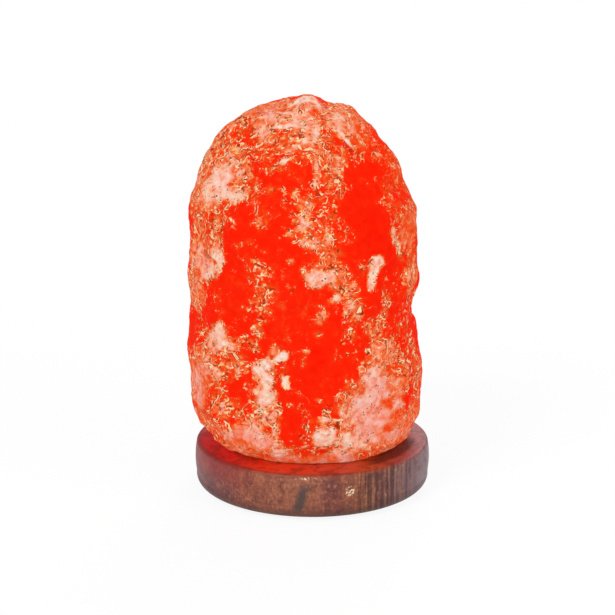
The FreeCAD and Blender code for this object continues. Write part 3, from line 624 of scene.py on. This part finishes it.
class Finish:
    """A procedural material. Each method adds one node and gives back its output."""

    def __init__(self, name):
        self.material = bpy.data.materials.new(name)
        self.material.use_nodes = True
        self.nodes = self.material.node_tree.nodes
        self.links = self.material.node_tree.links
        self.shader = self.nodes["Principled BSDF"]
        self.place = self.nodes.new("ShaderNodeTexCoord").outputs["Object"]

    def feed(self, socket, value):
        """Links an output to a socket, or sets a plain value on it."""
        if isinstance(value, bpy.types.NodeSocket):
            self.links.new(value, socket)
        elif value is not None:
            socket.default_value = value

    def attribute(self, name):
        """The value of one of the mesh's own attributes."""
        node = self.nodes.new("ShaderNodeAttribute")
        node.attribute_name = name
        return node.outputs["Fac"]

    def mapped(self, scale=(1, 1, 1), shift=(0, 0, 0)):
        """Object coordinates, scaled and then shifted by a distance in metres."""
        node = self.nodes.new("ShaderNodeMapping")
        node.inputs["Scale"].default_value = scale
        node.inputs["Location"].default_value = shift
        self.links.new(self.place, node.inputs["Vector"])
        return node.outputs["Vector"]

    def noise(self, size, detail=3.0, roughness=0.5, distortion=0.0, at=None, output="Fac"):
        """Cloudy noise whose largest blobs are about the given size in millimetres."""
        node = self.nodes.new("ShaderNodeTexNoise")
        node.inputs["Scale"].default_value = METRE / size
        node.inputs["Detail"].default_value = detail
        node.inputs["Roughness"].default_value = roughness
        node.inputs["Distortion"].default_value = distortion
        self.links.new(at or self.place, node.inputs["Vector"])
        return node.outputs[output]

    def cells(self, size, at):
        """Distances to the nearest of random points about a size in millimetres apart."""
        node = self.nodes.new("ShaderNodeTexVoronoi")
        node.inputs["Scale"].default_value = METRE / size
        self.links.new(at, node.inputs["Vector"])
        return node.outputs["Distance"]

    def split(self):
        """The three object coordinates, in metres."""
        node = self.nodes.new("ShaderNodeSeparateXYZ")
        self.links.new(self.place, node.inputs[0])
        return node.outputs

    def math(self, operation, a, b=None, c=None):
        """One step of arithmetic, by the name of its operation."""
        node = self.nodes.new("ShaderNodeMath")
        node.operation = operation
        for socket, value in zip(node.inputs, (a, b, c)):
            self.feed(socket, value)
        return node.outputs[0]

    def times(self, first, *others):
        """A product of two or more."""
        for other in others:
            first = self.math("MULTIPLY", first, other)
        return first

    def from_axis(self):
        """How far a point is from the lamp's axis, in metres."""
        x, y, _ = self.split()
        return self.math("SQRT", self.math("ADD", self.times(x, x), self.times(y, y)))

    def band(self, value, start, end, low=0.0, high=1.0):
        """A value eased from low at start to high at end."""
        node = self.nodes.new("ShaderNodeMapRange")
        node.interpolation_type = "SMOOTHSTEP"
        self.feed(node.inputs["Value"], value)
        for name, number in zip(("From Min", "From Max", "To Min", "To Max"), (start, end, low, high)):
            node.inputs[name].default_value = number
        return node.outputs["Result"]

    def ramp(self, value, stops):
        """A colour by a value, from stops of a value and its colour."""
        node = self.nodes.new("ShaderNodeValToRGB")
        points = node.color_ramp.elements
        while len(points) < len(stops):
            points.new(0.5)
        for point, (at, colour) in zip(points, stops):
            point.position = at
            point.color = colour
        self.feed(node.inputs["Fac"], value)
        return node.outputs["Color"]

    def mix(self, factor, a, b, blend="MIX"):
        """Colour a with colour b over it, as far as the factor says."""
        node = self.nodes.new("ShaderNodeMix")
        node.data_type = "RGBA"
        node.blend_type = blend
        self.feed(node.inputs["Factor"], factor)
        self.feed(node.inputs[6], a)
        self.feed(node.inputs[7], b)
        return node.outputs[2]

    def bump(self, height, reach):
        """Raises the surface by up to reach millimetres where height is 1."""
        node = self.nodes.new("ShaderNodeBump")
        node.inputs["Distance"].default_value = reach / METRE
        self.feed(node.inputs["Height"], height)
        return node.outputs["Normal"]

    def shade(self, **values):
        """Feeds the shader's sockets by name and gives back the material."""
        for name, value in values.items():
            self.feed(self.shader.inputs[name.replace("_", " ")], value)
        return self.material


def lit_salt():
    """Rock salt lit from inside: smooth deep red where it is clear, orange with fine cream flecks of painted
    highlight and brown ones of painted shadow where it turns cloudy, with painted light along broken crystal
    edges, and salmon, pink and cream with dark specks where it is frosted, and painted shade along its foot."""
    f = Finish("lit_rock_salt")
    frost = f.attribute("frost")
    busy = f.math("SUBTRACT", 1.0, f.attribute("calm"))
    cloud = f.math("SUBTRACT", f.noise(6.0, 4.0, 0.62, 0.4), 0.52)
    level = f.math("MULTIPLY_ADD", cloud, 0.36, frost)
    grain = f.noise(3.0, 2.0, 0.55, 0.4)
    coarse = f.times(f.band(level, 0.26, 0.60, 0.26, 0.78), f.band(busy, 0.0, 1.0, 0.6, 1.0))
    level = f.math("MULTIPLY_ADD", f.math("SUBTRACT", grain, 0.5), coarse, level)
    colour = f.ramp(level, [
        (0.10, rgb(250, 20, 2)),
        (0.31, rgb(253, 36, 7)),
        (0.39, rgb(248, 54, 12)),
        (0.47, rgb(243, 77, 24)),
        (0.58, rgb(246, 106, 54)),
        (0.71, rgb(252, 147, 112)),
        (0.85, rgb(252, 188, 166)),
        (1.00, rgb(250, 226, 214)),
    ])
    creamy = f.times(f.band(f.noise(5.0, 3.0, 0.6), 0.47, 0.57), f.band(level, 0.64, 0.90, 0.0, 0.50))
    colour = f.mix(creamy, colour, rgb(248, 208, 168))
    pink = f.times(f.band(busy, 0.7, 0.1, 0.0, 0.6), f.band(level, 0.52, 0.70))
    pinks = f.mix(f.band(level, 0.6, 1.0), rgb(246, 140, 124), rgb(252, 206, 200))
    colour = f.mix(pink, colour, pinks)
    colour = painted_relief_light_and_specks(f, colour, level, busy)
    colour = painted_edge_light(f, colour, level, busy)
    # Painted shade: a dark line along the rock's foot, where it meets the wood.
    under = f.band(f.split()[2], (wood_top + 1.4) / METRE, (wood_top + 0.3) / METRE, 0.0, 0.85)
    colour = f.mix(under, colour, rgb(96, 8, 2))
    relief = f.math("MULTIPLY_ADD", f.band(level, 0.4, 0.7), grain, f.noise(1.6, 4.0, 0.6))
    return f.shade(
        Base_Color=f.mix(1.0, colour, rgb(*glow_share), "MULTIPLY"),
        Roughness=0.75,
        Specular_IOR_Level=0.02,
        Specular_Tint=rgb(255, 170, 120),
        Normal=f.bump(relief, 0.4),
        Emission_Color=colour,
        Emission_Strength=0.56,
    )


def lifted(f, size, side, up):
    """How much noise of a size falls off to one side, which is where fine relief gets a painted highlight
    (positive) or painted shade (negative), as if lit from one side. Side and up give the step in millimetres."""
    here = f.noise(size, 2.0, 0.55)
    beside = f.noise(size, 2.0, 0.55, at=f.mapped(shift=(side / METRE, side / METRE, up / METRE)))
    return f.math("SUBTRACT", here, beside)


def painted_relief_light_and_specks(f, colour, level, busy):
    """Painted highlights and shadows of fine relief where the crystal is cloudy: cream flecks lit on one side
    with brown painted shadows beside them, a few in the red near it; and small dark specks where it is pale."""
    cloudy = f.times(f.band(level, 0.37, 0.47), f.band(level, 0.62, 0.78, 1.0, 0.25))
    tufts = f.times(f.band(f.noise(4.5, 2.0, 0.5), 0.42, 0.58, 0.25, 1.2), busy)
    low_down = f.band(f.split()[2], (wood_top + 2) / METRE, (wood_top + 9) / METRE, 0.2, 1.0)
    patchy = f.band(f.noise(9.0, 3.0, 0.6), 0.55, 0.61)
    near = f.times(f.band(level, 0.27, 0.36, 0.0, 1.1), f.band(level, 0.46, 0.40))
    strength = f.math("MAXIMUM", f.times(cloudy, tufts, low_down), f.times(patchy, busy, near))
    # Painted light: a cream highlight on one side of each small bump and a brown painted shadow on the other,
    # at two sizes.
    for size, side, rise, start in ((3.6, -0.6, -0.7, 0.085), (2.2, 0.45, -0.55, 0.085)):
        relief_lighting = lifted(f, size, side, rise)
        dark = f.times(f.band(relief_lighting, -start, -start * 1.8), strength, 0.72)
        light = f.times(f.band(relief_lighting, start, start * 1.8), strength, 0.74)
        colour = f.mix(dark, colour, rgb(156, 34, 6))
        colour = f.mix(light, colour, rgb(252, 200, 132))
    speck = f.band(f.cells(2.0, bent(f, 1.5, 0.6)), 0.30, 0.19)
    some = f.times(f.band(level, 0.56, 0.70), f.band(f.noise(7.0, 2.0, 0.5), 0.50, 0.58))
    return f.mix(f.times(speck, some, 0.8), colour, rgb(112, 50, 26))


def painted_edge_light(f, colour, level, busy):
    """Painted light along broken crystal edges: short curved cream lines of painted highlight with a line of
    painted shade beside each, two bands next to each other in the height of smooth noise, kept only in
    patches."""
    pale_end = f.band(level, 0.86, 0.68, 0.15, 1.0)
    where = f.times(f.band(level, 0.33, 0.44), pale_end, f.band(busy, 0.0, 0.8, 0.1, 1.0))
    for size, patch, edge in ((8.0, 3.6, 0.50), (4.6, 2.6, 0.49)):
        height = f.noise(size, 1.5, 0.5, 0.8)
        broken = f.times(f.band(f.noise(patch, 1.0, 0.5), 0.50, 0.56), where)
        # The painted highlight band, and the painted shade band beside it.
        light = f.times(f.band(height, edge, edge + 0.012), f.band(height, edge + 0.050, edge + 0.036))
        dark = f.times(f.band(height, edge - 0.045, edge - 0.030), f.band(height, edge + 0.004, edge - 0.010))
        colour = f.mix(f.times(dark, broken, 0.75), colour, rgb(132, 32, 8))
        colour = f.mix(f.times(light, broken, 0.85), colour, rgb(254, 226, 178))
    return colour


def bent(f, size, reach):
    """Object coordinates pushed about by noise, size and reach in millimetres."""
    push = f.nodes.new("ShaderNodeVectorMath")
    push.operation = "MULTIPLY_ADD"
    f.links.new(f.noise(size, 1.0, output="Color"), push.inputs[0])
    push.inputs[1].default_value = (2 * reach / METRE,) * 3
    f.links.new(f.place, push.inputs[2])
    return push.outputs[0]


def oiled_wood():
    """Dark oiled hardwood: reddish brown that turns mauve at the sides, mottled, with fine dark lines on the
    right, one grey streak in front, two painted glints, painted shade towards the foot, the rock's red glow
    painted onto the upper left of the side, and the red light of the rock painted on the top, with painted
    shade by the rock's foot and along the rim."""
    f = Finish("oiled_wood")
    x, y, z = f.split()
    mottle = f.noise(6.5, 5.0, 0.66, 0.3)
    grain = f.noise(1.3, 2.0, 0.6, at=f.mapped(scale=(1.0, 1.0, 0.8)))
    drift = f.math("MULTIPLY_ADD", f.noise(26.0, 3.0, 0.5), 0.014, f.math("ADD", x, -0.007))
    colour = f.ramp(f.math("MULTIPLY_ADD", drift, 1 / pattern_width, 0.5), [
        (0.00, rgb(124, 82, 86)),
        (0.10, rgb(112, 64, 62)),
        (0.24, rgb(134, 74, 58)),
        (0.44, rgb(144, 86, 64)),
        (0.58, rgb(112, 60, 54)),
        (0.70, rgb(136, 78, 52)),
        (0.78, rgb(104, 62, 56)),
        (0.92, rgb(114, 86, 92)),
        (1.00, rgb(132, 112, 122)),
    ])
    warm = f.times(f.band(mottle, 0.50, 0.62, 0.0, 0.42), f.band(x, 0.026, 0.044, 1.0, 0.15))
    colour = f.mix(warm, colour, rgb(174, 108, 76))
    colour = f.mix(f.band(mottle, 0.48, 0.38, 0.0, 0.50), colour, rgb(80, 44, 40))
    colour = f.mix(f.band(grain, 0.56, 0.70, 0.0, 0.36), colour, rgb(198, 142, 114))
    colour = f.mix(f.band(grain, 0.44, 0.32, 0.0, 0.48), colour, rgb(66, 34, 30))
    lines = f.noise(1.5, 2.0, 0.5, at=f.mapped(scale=(1.0, 0.06, 0.05)))
    striped = f.times(f.band(x, 0.015, 0.026), f.band(x, 0.052, 0.042, 0.25, 1.0))
    line = f.times(f.band(lines, 0.50, 0.42, 0.0, 0.65), striped)
    pale = f.times(f.band(lines, 0.53, 0.60, 0.0, 0.30), striped)
    colour = f.mix(pale, colour, rgb(168, 118, 84))
    colour = f.mix(line, colour, rgb(66, 38, 34))
    slope = f.math("MULTIPLY_ADD", z, 0.30, -0.0072)
    off = f.math("ABSOLUTE", f.math("SUBTRACT", f.math("MULTIPLY_ADD", mottle, 0.004, x), slope))
    length = f.times(f.band(z, 0.002, 0.008), f.band(z, 0.0215, 0.0155))
    streak = f.times(f.band(off, 0.0040, 0.0008), f.band(y, -0.03, -0.04), length, 0.85)
    colour = f.mix(streak, colour, rgb(66, 60, 58))
    # Painted light: the rock's red glow spilling over the edge onto the upper left of the side.
    painted_glow_spill = f.times(f.band(z, 0.009, 0.022, 0.0, 0.6), f.band(x, -0.022, -0.046))
    colour = f.mix(painted_glow_spill, colour, rgb(152, 52, 50))
    # Painted shade: darker towards the foot, where the rounded underside turns away from the light.
    foot = f.band(z, (wood_bottom + 9.0) / METRE, (wood_bottom + 0.5) / METRE, 0.0, 0.6)
    colour = f.mix(foot, colour, rgb(58, 42, 42))
    # Painted highlights: two glints, one lower on the side and one along the rim in front.
    round_glint = spot(f, (0.018, -0.057, 0.0155), 0.0032)
    long_glint = spot(f, (-0.003, -0.059, 0.0225), 0.0070, 0.12)
    broken = f.band(f.noise(1.2, 1.0, 0.5), 0.49, 0.64, 0.0, 0.8)
    colour = f.mix(f.times(f.math("ADD", round_glint, long_glint), broken), colour, rgb(250, 222, 186))

    # Painted light: the red light of the rock on the wood's top, in the base and emission colour, so the wood
    # itself glows there.
    out = f.from_axis()
    red = f.ramp(f.math("MULTIPLY_ADD", x, 1 / pattern_width, 0.5), [
        (0.00, rgb(184, 14, 26)),
        (0.14, rgb(206, 20, 22)),
        (0.32, rgb(226, 48, 16)),
        (0.62, rgb(206, 62, 36)),
        (0.76, rgb(186, 70, 34)),
        (0.86, rgb(158, 56, 46)),
        (1.00, rgb(166, 84, 84)),
    ])
    red = f.mix(f.band(mottle, 0.54, 0.40, 0.0, 0.45), red, rgb(90, 14, 8))
    # Painted shadow in the gap beside the rock's foot on the right.
    gap = f.times(f.band(out, 0.0540, 0.0515), f.band(x, 0.022, 0.034), f.band(y, 0.0, -0.008, 0.0, 0.75))
    red = f.mix(gap, red, rgb(70, 12, 8))
    # Painted shade: a darker band at the outer edge of the top.
    rim = f.times(f.band(out, 0.0562, 0.0580), f.band(x, 0.030, 0.015, 0.0, 0.6))
    red = f.mix(rim, red, rgb(104, 24, 16))
    top = f.band(z, (wood_top - 2.2) / METRE, (wood_top - 0.2) / METRE)
    lit = f.times(top, f.band(out, (wood_radius + 3) / METRE, (wood_radius - 5) / METRE))
    return f.shade(
        Base_Color=f.mix(lit, colour, f.mix(1.0, red, rgb(*glow_share), "MULTIPLY")),
        Roughness=f.band(grain, 0.3, 0.7, 0.40, 0.58),
        Specular_IOR_Level=0.2,
        Normal=f.bump(f.math("MULTIPLY_ADD", line, -0.6, mottle), 0.15),
        Emission_Color=f.mix(lit, rgb(0, 0, 0), red),
        Emission_Strength=0.5,
    )


def spot(f, centre, radius, flat=1.0):
    """A soft round spot at a place in metres, 1 in its middle; flat below 1 makes it low and wide."""
    node = f.nodes.new("ShaderNodeVectorMath")
    node.operation = "DISTANCE"
    f.links.new(f.mapped(scale=(1, 1, 1 / flat)), node.inputs[0])
    node.inputs[1].default_value = (centre[0], centre[1], centre[2] / flat)
    return f.band(node.outputs["Value"], radius, radius * 0.5)


def plain_finish(name, colour, roughness, metallic=0.0, size=1.5, reach=0.05, spread=0.12,
                 stretch=(1, 1, 1), **more):
    """A finish with a little variation of colour, roughness and relief: a fine cloud of the given
    size in millimetres, drawn out along an axis where stretch is small, over a coarse one."""
    f = Finish(name)
    cloud = f.noise(size, 4.0, 0.6, at=f.mapped(scale=stretch))
    coarse = f.noise(size * 7, 3.0, 0.5)
    dark = tuple(v * (1 - spread * 2) for v in colour[:3]) + (1.0,)
    light = tuple(min(1.0, v * (1 + spread)) for v in colour[:3]) + (1.0,)
    both = f.math("MULTIPLY_ADD", cloud, 0.5, f.times(coarse, 0.5))
    rough = f.band(cloud, 0.3, 0.7, max(0.02, roughness - 0.08), min(1.0, roughness + 0.08))
    return f.shade(
        Base_Color=f.ramp(both, [(0.35, dark), (0.65, light)]), Roughness=rough, Metallic=metallic,
        Normal=f.bump(cloud, reach), **more,
    )


def clear_glass(name, tint, roughness):
    """Thin blown glass with faint smears in its gloss."""
    f = Finish(name)
    smear = f.noise(6.0, 3.0, 0.6)
    return f.shade(
        Base_Color=f.ramp(smear, [(0.3, tint), (0.7, rgb(252, 252, 250))]),
        Transmission_Weight=1.0,
        IOR=1.45,
        Roughness=f.band(smear, 0.4, 0.7, roughness, roughness + 0.06),
        Normal=f.bump(smear, 0.02),
    )


def black_felt():
    """Charcoal wool felt: matted fibres of two sizes and a soft sheen."""
    f = Finish("charcoal_felt")
    fibre = f.noise(0.7, 5.0, 0.75, 1.2)
    tuft = f.noise(3.0, 3.0, 0.6)
    level = f.math("MULTIPLY_ADD", fibre, 0.7, f.times(tuft, 0.3))
    return f.shade(
        Base_Color=f.ramp(level, [(0.35, rgb(24, 24, 26)), (0.55, rgb(48, 47, 48)), (0.72, rgb(86, 84, 84))]),
        Roughness=f.band(fibre, 0.3, 0.7, 0.88, 1.0),
        Specular_IOR_Level=0.15,
        Sheen_Weight=0.4,
        Sheen_Roughness=0.5,
        Normal=f.bump(level, 0.35),
    )


def glowing_wire():
    """Tungsten wire at full heat, a little cooler towards the leads."""
    f = Finish("glowing_tungsten")
    heat = f.band(f.math("ABSOLUTE", f.split()[0]), 0.0055, 0.002)
    glow = f.ramp(heat, [(0.0, rgb(214, 96, 34)), (0.4, rgb(255, 176, 84)), (1.0, rgb(255, 232, 176))])
    return f.shade(
        Base_Color=rgb(70, 64, 60),
        Roughness=f.band(f.noise(0.4), 0.3, 0.7, 0.4, 0.6),
        Metallic=1.0,
        Emission_Color=glow,
        Emission_Strength=1.0,
    )


# Threads, filament and felt

def threaded_wall(name, profile, pitch, columns, body, finish, slot, node):
    """A turned wall as one closed ring of surface, with a rolled right-hand thread. The profile's
    rows are radius, height and thread height; the thread stands out by its height times
    half of 1 minus the cosine of a turn per pitch of height, less the angle."""
    radius, height, lift = (column[:, None] for column in np.array(profile).T)
    a = np.arange(columns) * TURN / columns
    reach = radius + lift * (0.5 - 0.5 * np.cos(TURN * height / pitch - a))
    grid = np.stack([reach * np.cos(a), reach * np.sin(a), height + 0 * a], -1)
    settle(name, surface(name, grid, ring=True), body, finish, slot, node)


def threaded_run(radius, bottom, top, lift, pitch, growth):
    """Rows of a threaded wall between two heights. The thread grows from nothing at both ends,
    evenly over a height."""
    rows = max(4, round((top - bottom) / pitch * rows_per_pitch))
    heights = np.linspace(bottom, top, rows)
    grown = np.clip(np.minimum(heights - bottom, top - heights) / growth, 0, 1)
    return [(radius, z, lift * g) for z, g in zip(heights, grown)]


def brass_shell():
    """The screw shell: rolled thread inside and out, inturned foot, and a lip turned outwards."""
    bottom, top = low("screw_shell")[2], high("screw_shell")[2]
    outer = high("screw_shell")[0]
    inner, floor = outer - shell_wall, bottom + shell_wall
    foot, head = bottom + shell_plain[0], top - shell_plain[1]
    run = (foot, head, round_thread_lift, round_thread_pitch, shell_growth)
    bend_in, bend_up = shell_inner_bend
    profile = [(shell_hole_radius, floor, 0), (inner - bend_in, floor, 0), (inner, floor + bend_up, 0)]
    profile += threaded_run(inner, *run)
    profile += [(inner + out, top + up, 0) for out, up in shell_lip]
    profile += threaded_run(outer, *run)[::-1]
    profile += [(outer, bottom + shell_outer_bend, 0), (outer - shell_outer_bend, bottom, 0)]
    profile += [(shell_hole_radius, bottom, 0)]
    thread = (round_thread_pitch, round_thread_columns)
    threaded_wall("screw_shell_rolled", profile, *thread, "lampholder", brass, "brass", "screw_shell")


def bulb_base():
    """The bulb's cap: rolled thread, sloped step and collar round the glass."""
    bottom, top = low("bulb_cap")[2], high("bulb_cap")[2]
    collar = high("bulb_cap")[0]
    collar_foot = top - cap_collar_height
    slope_foot = collar_foot - cap_slope_height
    root = cap_crest_radius - round_thread_lift
    slope = root + cap_slope_start
    foot, head = bottom + cap_plain[0], slope_foot - cap_plain[1]
    run = (foot, head, round_thread_lift, round_thread_pitch, cap_growth)
    inner = root - cap_wall
    profile = [(inner, bottom + cap_wall, 0), (inner, bottom, 0), (root - cap_sunk, bottom, 0)]
    profile += threaded_run(root, *run)
    profile += [
        (slope, slope_foot, 0),
        (collar - cap_shoulder[0], collar_foot + cap_shoulder[1], 0),
        (collar, collar_foot + cap_shoulder_top, 0),
        (collar, top - cap_rim[1], 0),
        (collar - cap_rim[0], top, 0),
        (collar - cap_wall, top, 0),
        (collar - cap_wall, collar_foot + cap_shoulder_top, 0),
        (slope - cap_wall, slope_foot + cap_slope_lift, 0),
    ]
    profile += threaded_run(inner, *run)[::-1]
    thread = (round_thread_pitch, round_thread_columns)
    threaded_wall("bulb_cap_rolled", profile, *thread, "bulb", rolled_cap, "bulb_metal", "bulb_cap")


def hollow_nipple():
    """The nipple: a fine thread outside and a plain bore with eased mouths."""
    bottom, top = low("nipple")[2], high("nipple")[2]
    root = high("nipple")[0] - nipple_thread
    foot, head = bottom + nipple_ease, top - nipple_ease
    mouth, rim = nipple_bore + nipple_ease, root - nipple_sunk
    profile = [(mouth, bottom, 0), (rim, bottom, 0)]
    profile += threaded_run(root, foot, head, nipple_thread, nipple_pitch, nipple_growth)
    profile += [(rim, top, 0), (mouth, top, 0)]
    profile += [(nipple_bore, z, 0) for z in np.linspace(head, foot, nipple_bore_rows)]
    thread = (nipple_pitch, nipple_columns)
    threaded_wall("nipple_threaded", profile, *thread, "lampholder", zinc, "zinc_steel", "nipple")


def screw_threads():
    """The threads of the three wood screws: a three-sided ridge that winds up the shank at one turn
    per pitch and narrows with the point."""
    half_width, ridge_height, sunk = screw_ridge
    tip = high("base_screws")[2]
    run = screw_thread_length - screw_plain_tip
    turns = run / screw_pitch
    t = np.linspace(0, 1, round(turns * screw_rows_per_turn))[:, None]
    height = tip - screw_thread_length + t * run
    core = screw_core_radius * np.clip((tip - height) / screw_point, 0, 1)
    grown = np.clip(np.minimum(t, 1 - t) / screw_growth, 0, 1)
    side = np.array([-1.0, 0.0, 1.0]) * half_width * grown
    crest = core - sunk + np.array([0.0, 1.0, 0.0]) * ridge_height * grown
    a = TURN * turns * t
    ridge = np.stack([crest * np.cos(a), crest * np.sin(a), height + side], -1)
    ridge[0], ridge[-1] = ridge[0].mean(0), ridge[-1].mean(0)
    for k, degrees in enumerate(screw_angles):
        b = math.radians(degrees)
        seat = np.array([math.cos(b), math.sin(b), 0]) * screw_circle_radius
        name = f"screw_thread_{k + 1}"
        settle(name, surface(name, ridge + seat), "lamp", zinc, "zinc_steel")


def coiled_filament():
    """The filament: a fine wire wound in a helix round an arc that bows up between the leads."""
    bottom, top = low("bulb_filament"), high("bulb_filament")
    reach = top[0] - coil_radius
    rise = top[2] - bottom[2] - 2 * coil_radius
    t = np.linspace(-1, 1, coil_turns * coil_rows_per_turn)[:, None]
    path = np.concatenate([reach * t, 0 * t, bottom[2] + coil_radius + rise * (1 - t * t)], 1)
    along = unit(np.gradient(path, axis=0))
    across = np.array([0.0, 1.0, 0.0])
    a = TURN * coil_turns * (t + 1) / 2
    spoke = np.cross(along, across) * np.cos(a) + across * np.sin(a)
    line = path + spoke * (coil_radius - wire_radius)
    ahead = unit(np.gradient(line, axis=0))
    b = (np.arange(wire_sides) * TURN / wire_sides)[None, :, None]
    sideways = np.cross(ahead, spoke)
    grid = line[:, None] + wire_radius * (spoke[:, None] * np.cos(b) + sideways[:, None] * np.sin(b))
    grid[0], grid[-1] = line[0], line[-1]
    mesh = surface("filament_coil", grid)
    settle("filament_coil", mesh, "bulb", glowing_wire(), "filament_wire", "bulb_filament")


def squared(wave):
    """A sine or cosine drawn out towards its ends, so that an oval turns squarish."""
    return np.sign(wave) * np.abs(wave) ** felt_squareness


def soft_felt():
    """The felt ring: a rounded strip carried round the foot and cut straight at the cord's gap, with
    its edges a little uneven. Its section is a squarish oval as thick as the ring."""
    outer, thick = high("felt_ring")[0], high("felt_ring")[2]
    half_width = felt_width / 2
    b = np.arange(felt_columns) * TURN / felt_columns
    radius = outer - half_width + (half_width - felt_inset) * squared(np.cos(b))
    height = thick / 2 + thick / 2 * squared(np.sin(b))
    gap = np.arcsin(felt_gap / 2 / radius)
    t = np.linspace(0, 1, felt_rows)[:, None]
    a = TURN / 4 + gap + t * (TURN - 2 * gap)
    grid = np.stack([radius * np.cos(a), radius * np.sin(a), height + 0 * a], -1)
    fuzz = wavy(grid, 0, felt_fuzz)
    grid = grid * (1 + (fuzz * np.cos(b))[..., None] * (1, 1, 0) / radius[:, None])
    sunk = felt_upper_fuzz * np.minimum(fuzz, 0) * (np.sin(b) > 0)
    grid[..., 2] = np.clip(grid[..., 2] + sunk, 0, thick)
    grid[0], grid[-1] = grid[0].mean(0), grid[-1].mean(0)
    settle("felt_pad", surface("felt_pad", grid), "lamp", black_felt(), "felt", "felt_ring")


# Stage, light and camera

def white_room():
    """A white floor and world that look white to the camera and in gloss and glass, with the
    lamp's soft shadow kept on the floor."""
    f = Finish("white_floor")
    f.shade(Base_Color=rgb(245, 245, 245), Roughness=0.9)
    glow = f.nodes.new("ShaderNodeEmission")
    glow.inputs["Color"].default_value = (1, 1, 1, 1)
    glow.inputs["Strength"].default_value = 1.0
    rays = f.nodes.new("ShaderNodeLightPath").outputs
    clear = f.math("MAXIMUM", rays["Is Camera Ray"], rays["Is Glossy Ray"])
    clear = f.math("MAXIMUM", clear, rays["Is Transmission Ray"])
    blend = f.nodes.new("ShaderNodeMixShader")
    f.links.new(f.times(clear, f.band(f.from_axis(), 0.15, 0.5, 0.9, 1.0)), blend.inputs[0])
    f.links.new(f.shader.outputs[0], blend.inputs[1])
    f.links.new(glow.outputs[0], blend.inputs[2])
    f.links.new(blend.outputs[0], f.nodes["Material Output"].inputs["Surface"])
    mesh = bpy.data.meshes.new("floor")
    corners = [(-1, -1), (1, -1), (1, 1), (-1, 1)]
    mesh.from_pydata([(x * floor_half, y * floor_half, 0) for x, y in corners], [], [(0, 1, 2, 3)])
    mesh.materials.append(f.material)
    placed("floor", mesh)
    world = bpy.data.worlds.new("white_room")
    world.use_nodes = True
    nodes, links = world.node_tree.nodes, world.node_tree.links
    back = nodes["Background"]
    back.inputs["Color"].default_value = (1, 1, 1, 1)
    rays = nodes.new("ShaderNodeLightPath").outputs
    strength = nodes.new("ShaderNodeMapRange")
    strength.inputs["To Min"].default_value = 0.45
    strength.inputs["To Max"].default_value = 1.0
    either = nodes.new("ShaderNodeMath")
    either.operation = "MAXIMUM"
    links.new(rays["Is Camera Ray"], either.inputs[0])
    links.new(rays["Is Transmission Ray"], either.inputs[1])
    links.new(either.outputs[0], strength.inputs["Value"])
    links.new(strength.outputs["Result"], back.inputs["Strength"])
    bpy.context.scene.world = world


def soft_lamp(name, place, size, power):
    """An area lamp that faces the middle of the object."""
    data = bpy.data.lights.new(name, "AREA")
    data.shape = "DISK"
    data.size = size
    data.energy = power
    lamp = placed(name, data)
    lamp.location = place
    lamp.rotation_euler = (lamp_aim - Vector(place)).to_track_quat("-Z", "Y").to_euler()


def camera():
    """The camera at the photograph's viewpoint."""
    lift = math.radians(view_elevation)
    data = bpy.data.cameras.new("camera")
    data.sensor_width = sensor_width
    data.lens = focal_length * sensor_width / photo_width
    data.clip_start = 0.01
    eye = placed("camera", data)
    back = np.array([0, -math.cos(lift), math.sin(lift)])
    eye.location = ((aim + view_distance * back) / METRE).tolist()
    eye.rotation_euler = (math.pi / 2 - lift, 0, 0)
    bpy.context.scene.camera = eye


bpy.context.scene.view_settings.view_transform = "Standard"
camera()
white_room()
soft_lamp("key", (-0.7, -1.0, 1.1), 0.7, 14)
soft_lamp("fill", (1.1, -0.8, 0.7), 0.9, 8)
soft_lamp("back", (0.3, 1.2, 0.9), 0.8, 8)

brass = plain_finish("satin_brass", rgb(206, 166, 92), 0.32, 1.0, size=0.9, reach=0.02)
rolled_cap = plain_finish("rolled_cap_metal", rgb(214, 190, 128), 0.28, 1.0, size=1.2, reach=0.02)
zinc = plain_finish("zinc_plate", rgb(180, 180, 176), 0.34, 1.0, size=0.8, reach=0.02, spread=0.1)
spring_steel = plain_finish(
    "spring_steel", rgb(146, 148, 152), 0.30, 1.0, size=0.7, reach=0.02, stretch=(0.08, 1, 0.08)
)
resin = plain_finish(
    "moulded_resin", rgb(30, 29, 30), 0.42, size=0.6, reach=0.03, spread=0.2, Specular_IOR_Level=0.5
)
ceramic = plain_finish("fired_ceramic", rgb(224, 218, 204), 0.55, size=1.0, reach=0.06, spread=0.06)
finishes = {
    "wooden_base": oiled_wood(),
    "base_screws": zinc,
    "plaster_plugs": plain_finish("cast_plaster", rgb(226, 222, 212), 0.9, size=1.0, reach=0.15),
    "nipple_nut": zinc,
    "terminal_screws": zinc,
    "clip_bracket": spring_steel,
    "clip_arm_left": spring_steel,
    "clip_arm_right": spring_steel,
    "holder_cap": resin,
    "holder_skirt": resin,
    "terminal_block": ceramic,
    "centre_contact": brass,
    "contact_rivets": brass,
    "pillar_terminals": brass,
    "bulb_contact": plain_finish("solder_tip", rgb(166, 168, 168), 0.38, 1.0, size=1.2, reach=0.12),
    "bulb_insulator": plain_finish("black_glass", rgb(20, 20, 24), 0.12, size=2.0, reach=0.03),
    "bulb_glass": clear_glass("blown_glass", rgb(244, 250, 248), 0.01),
    "bulb_stem": clear_glass("pressed_stem_glass", rgb(226, 238, 232), 0.04),
    "bulb_leads": plain_finish("nickel_wire", rgb(158, 150, 138), 0.35, 1.0, size=0.5, reach=0.02),
}
for node, finish in finishes.items():
    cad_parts[node].data.materials.clear()
    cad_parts[node].data.materials.append(finish)

salt_rock()
soft_felt()
screw_threads()
hollow_nipple()
brass_shell()
bulb_base()
coiled_filament()
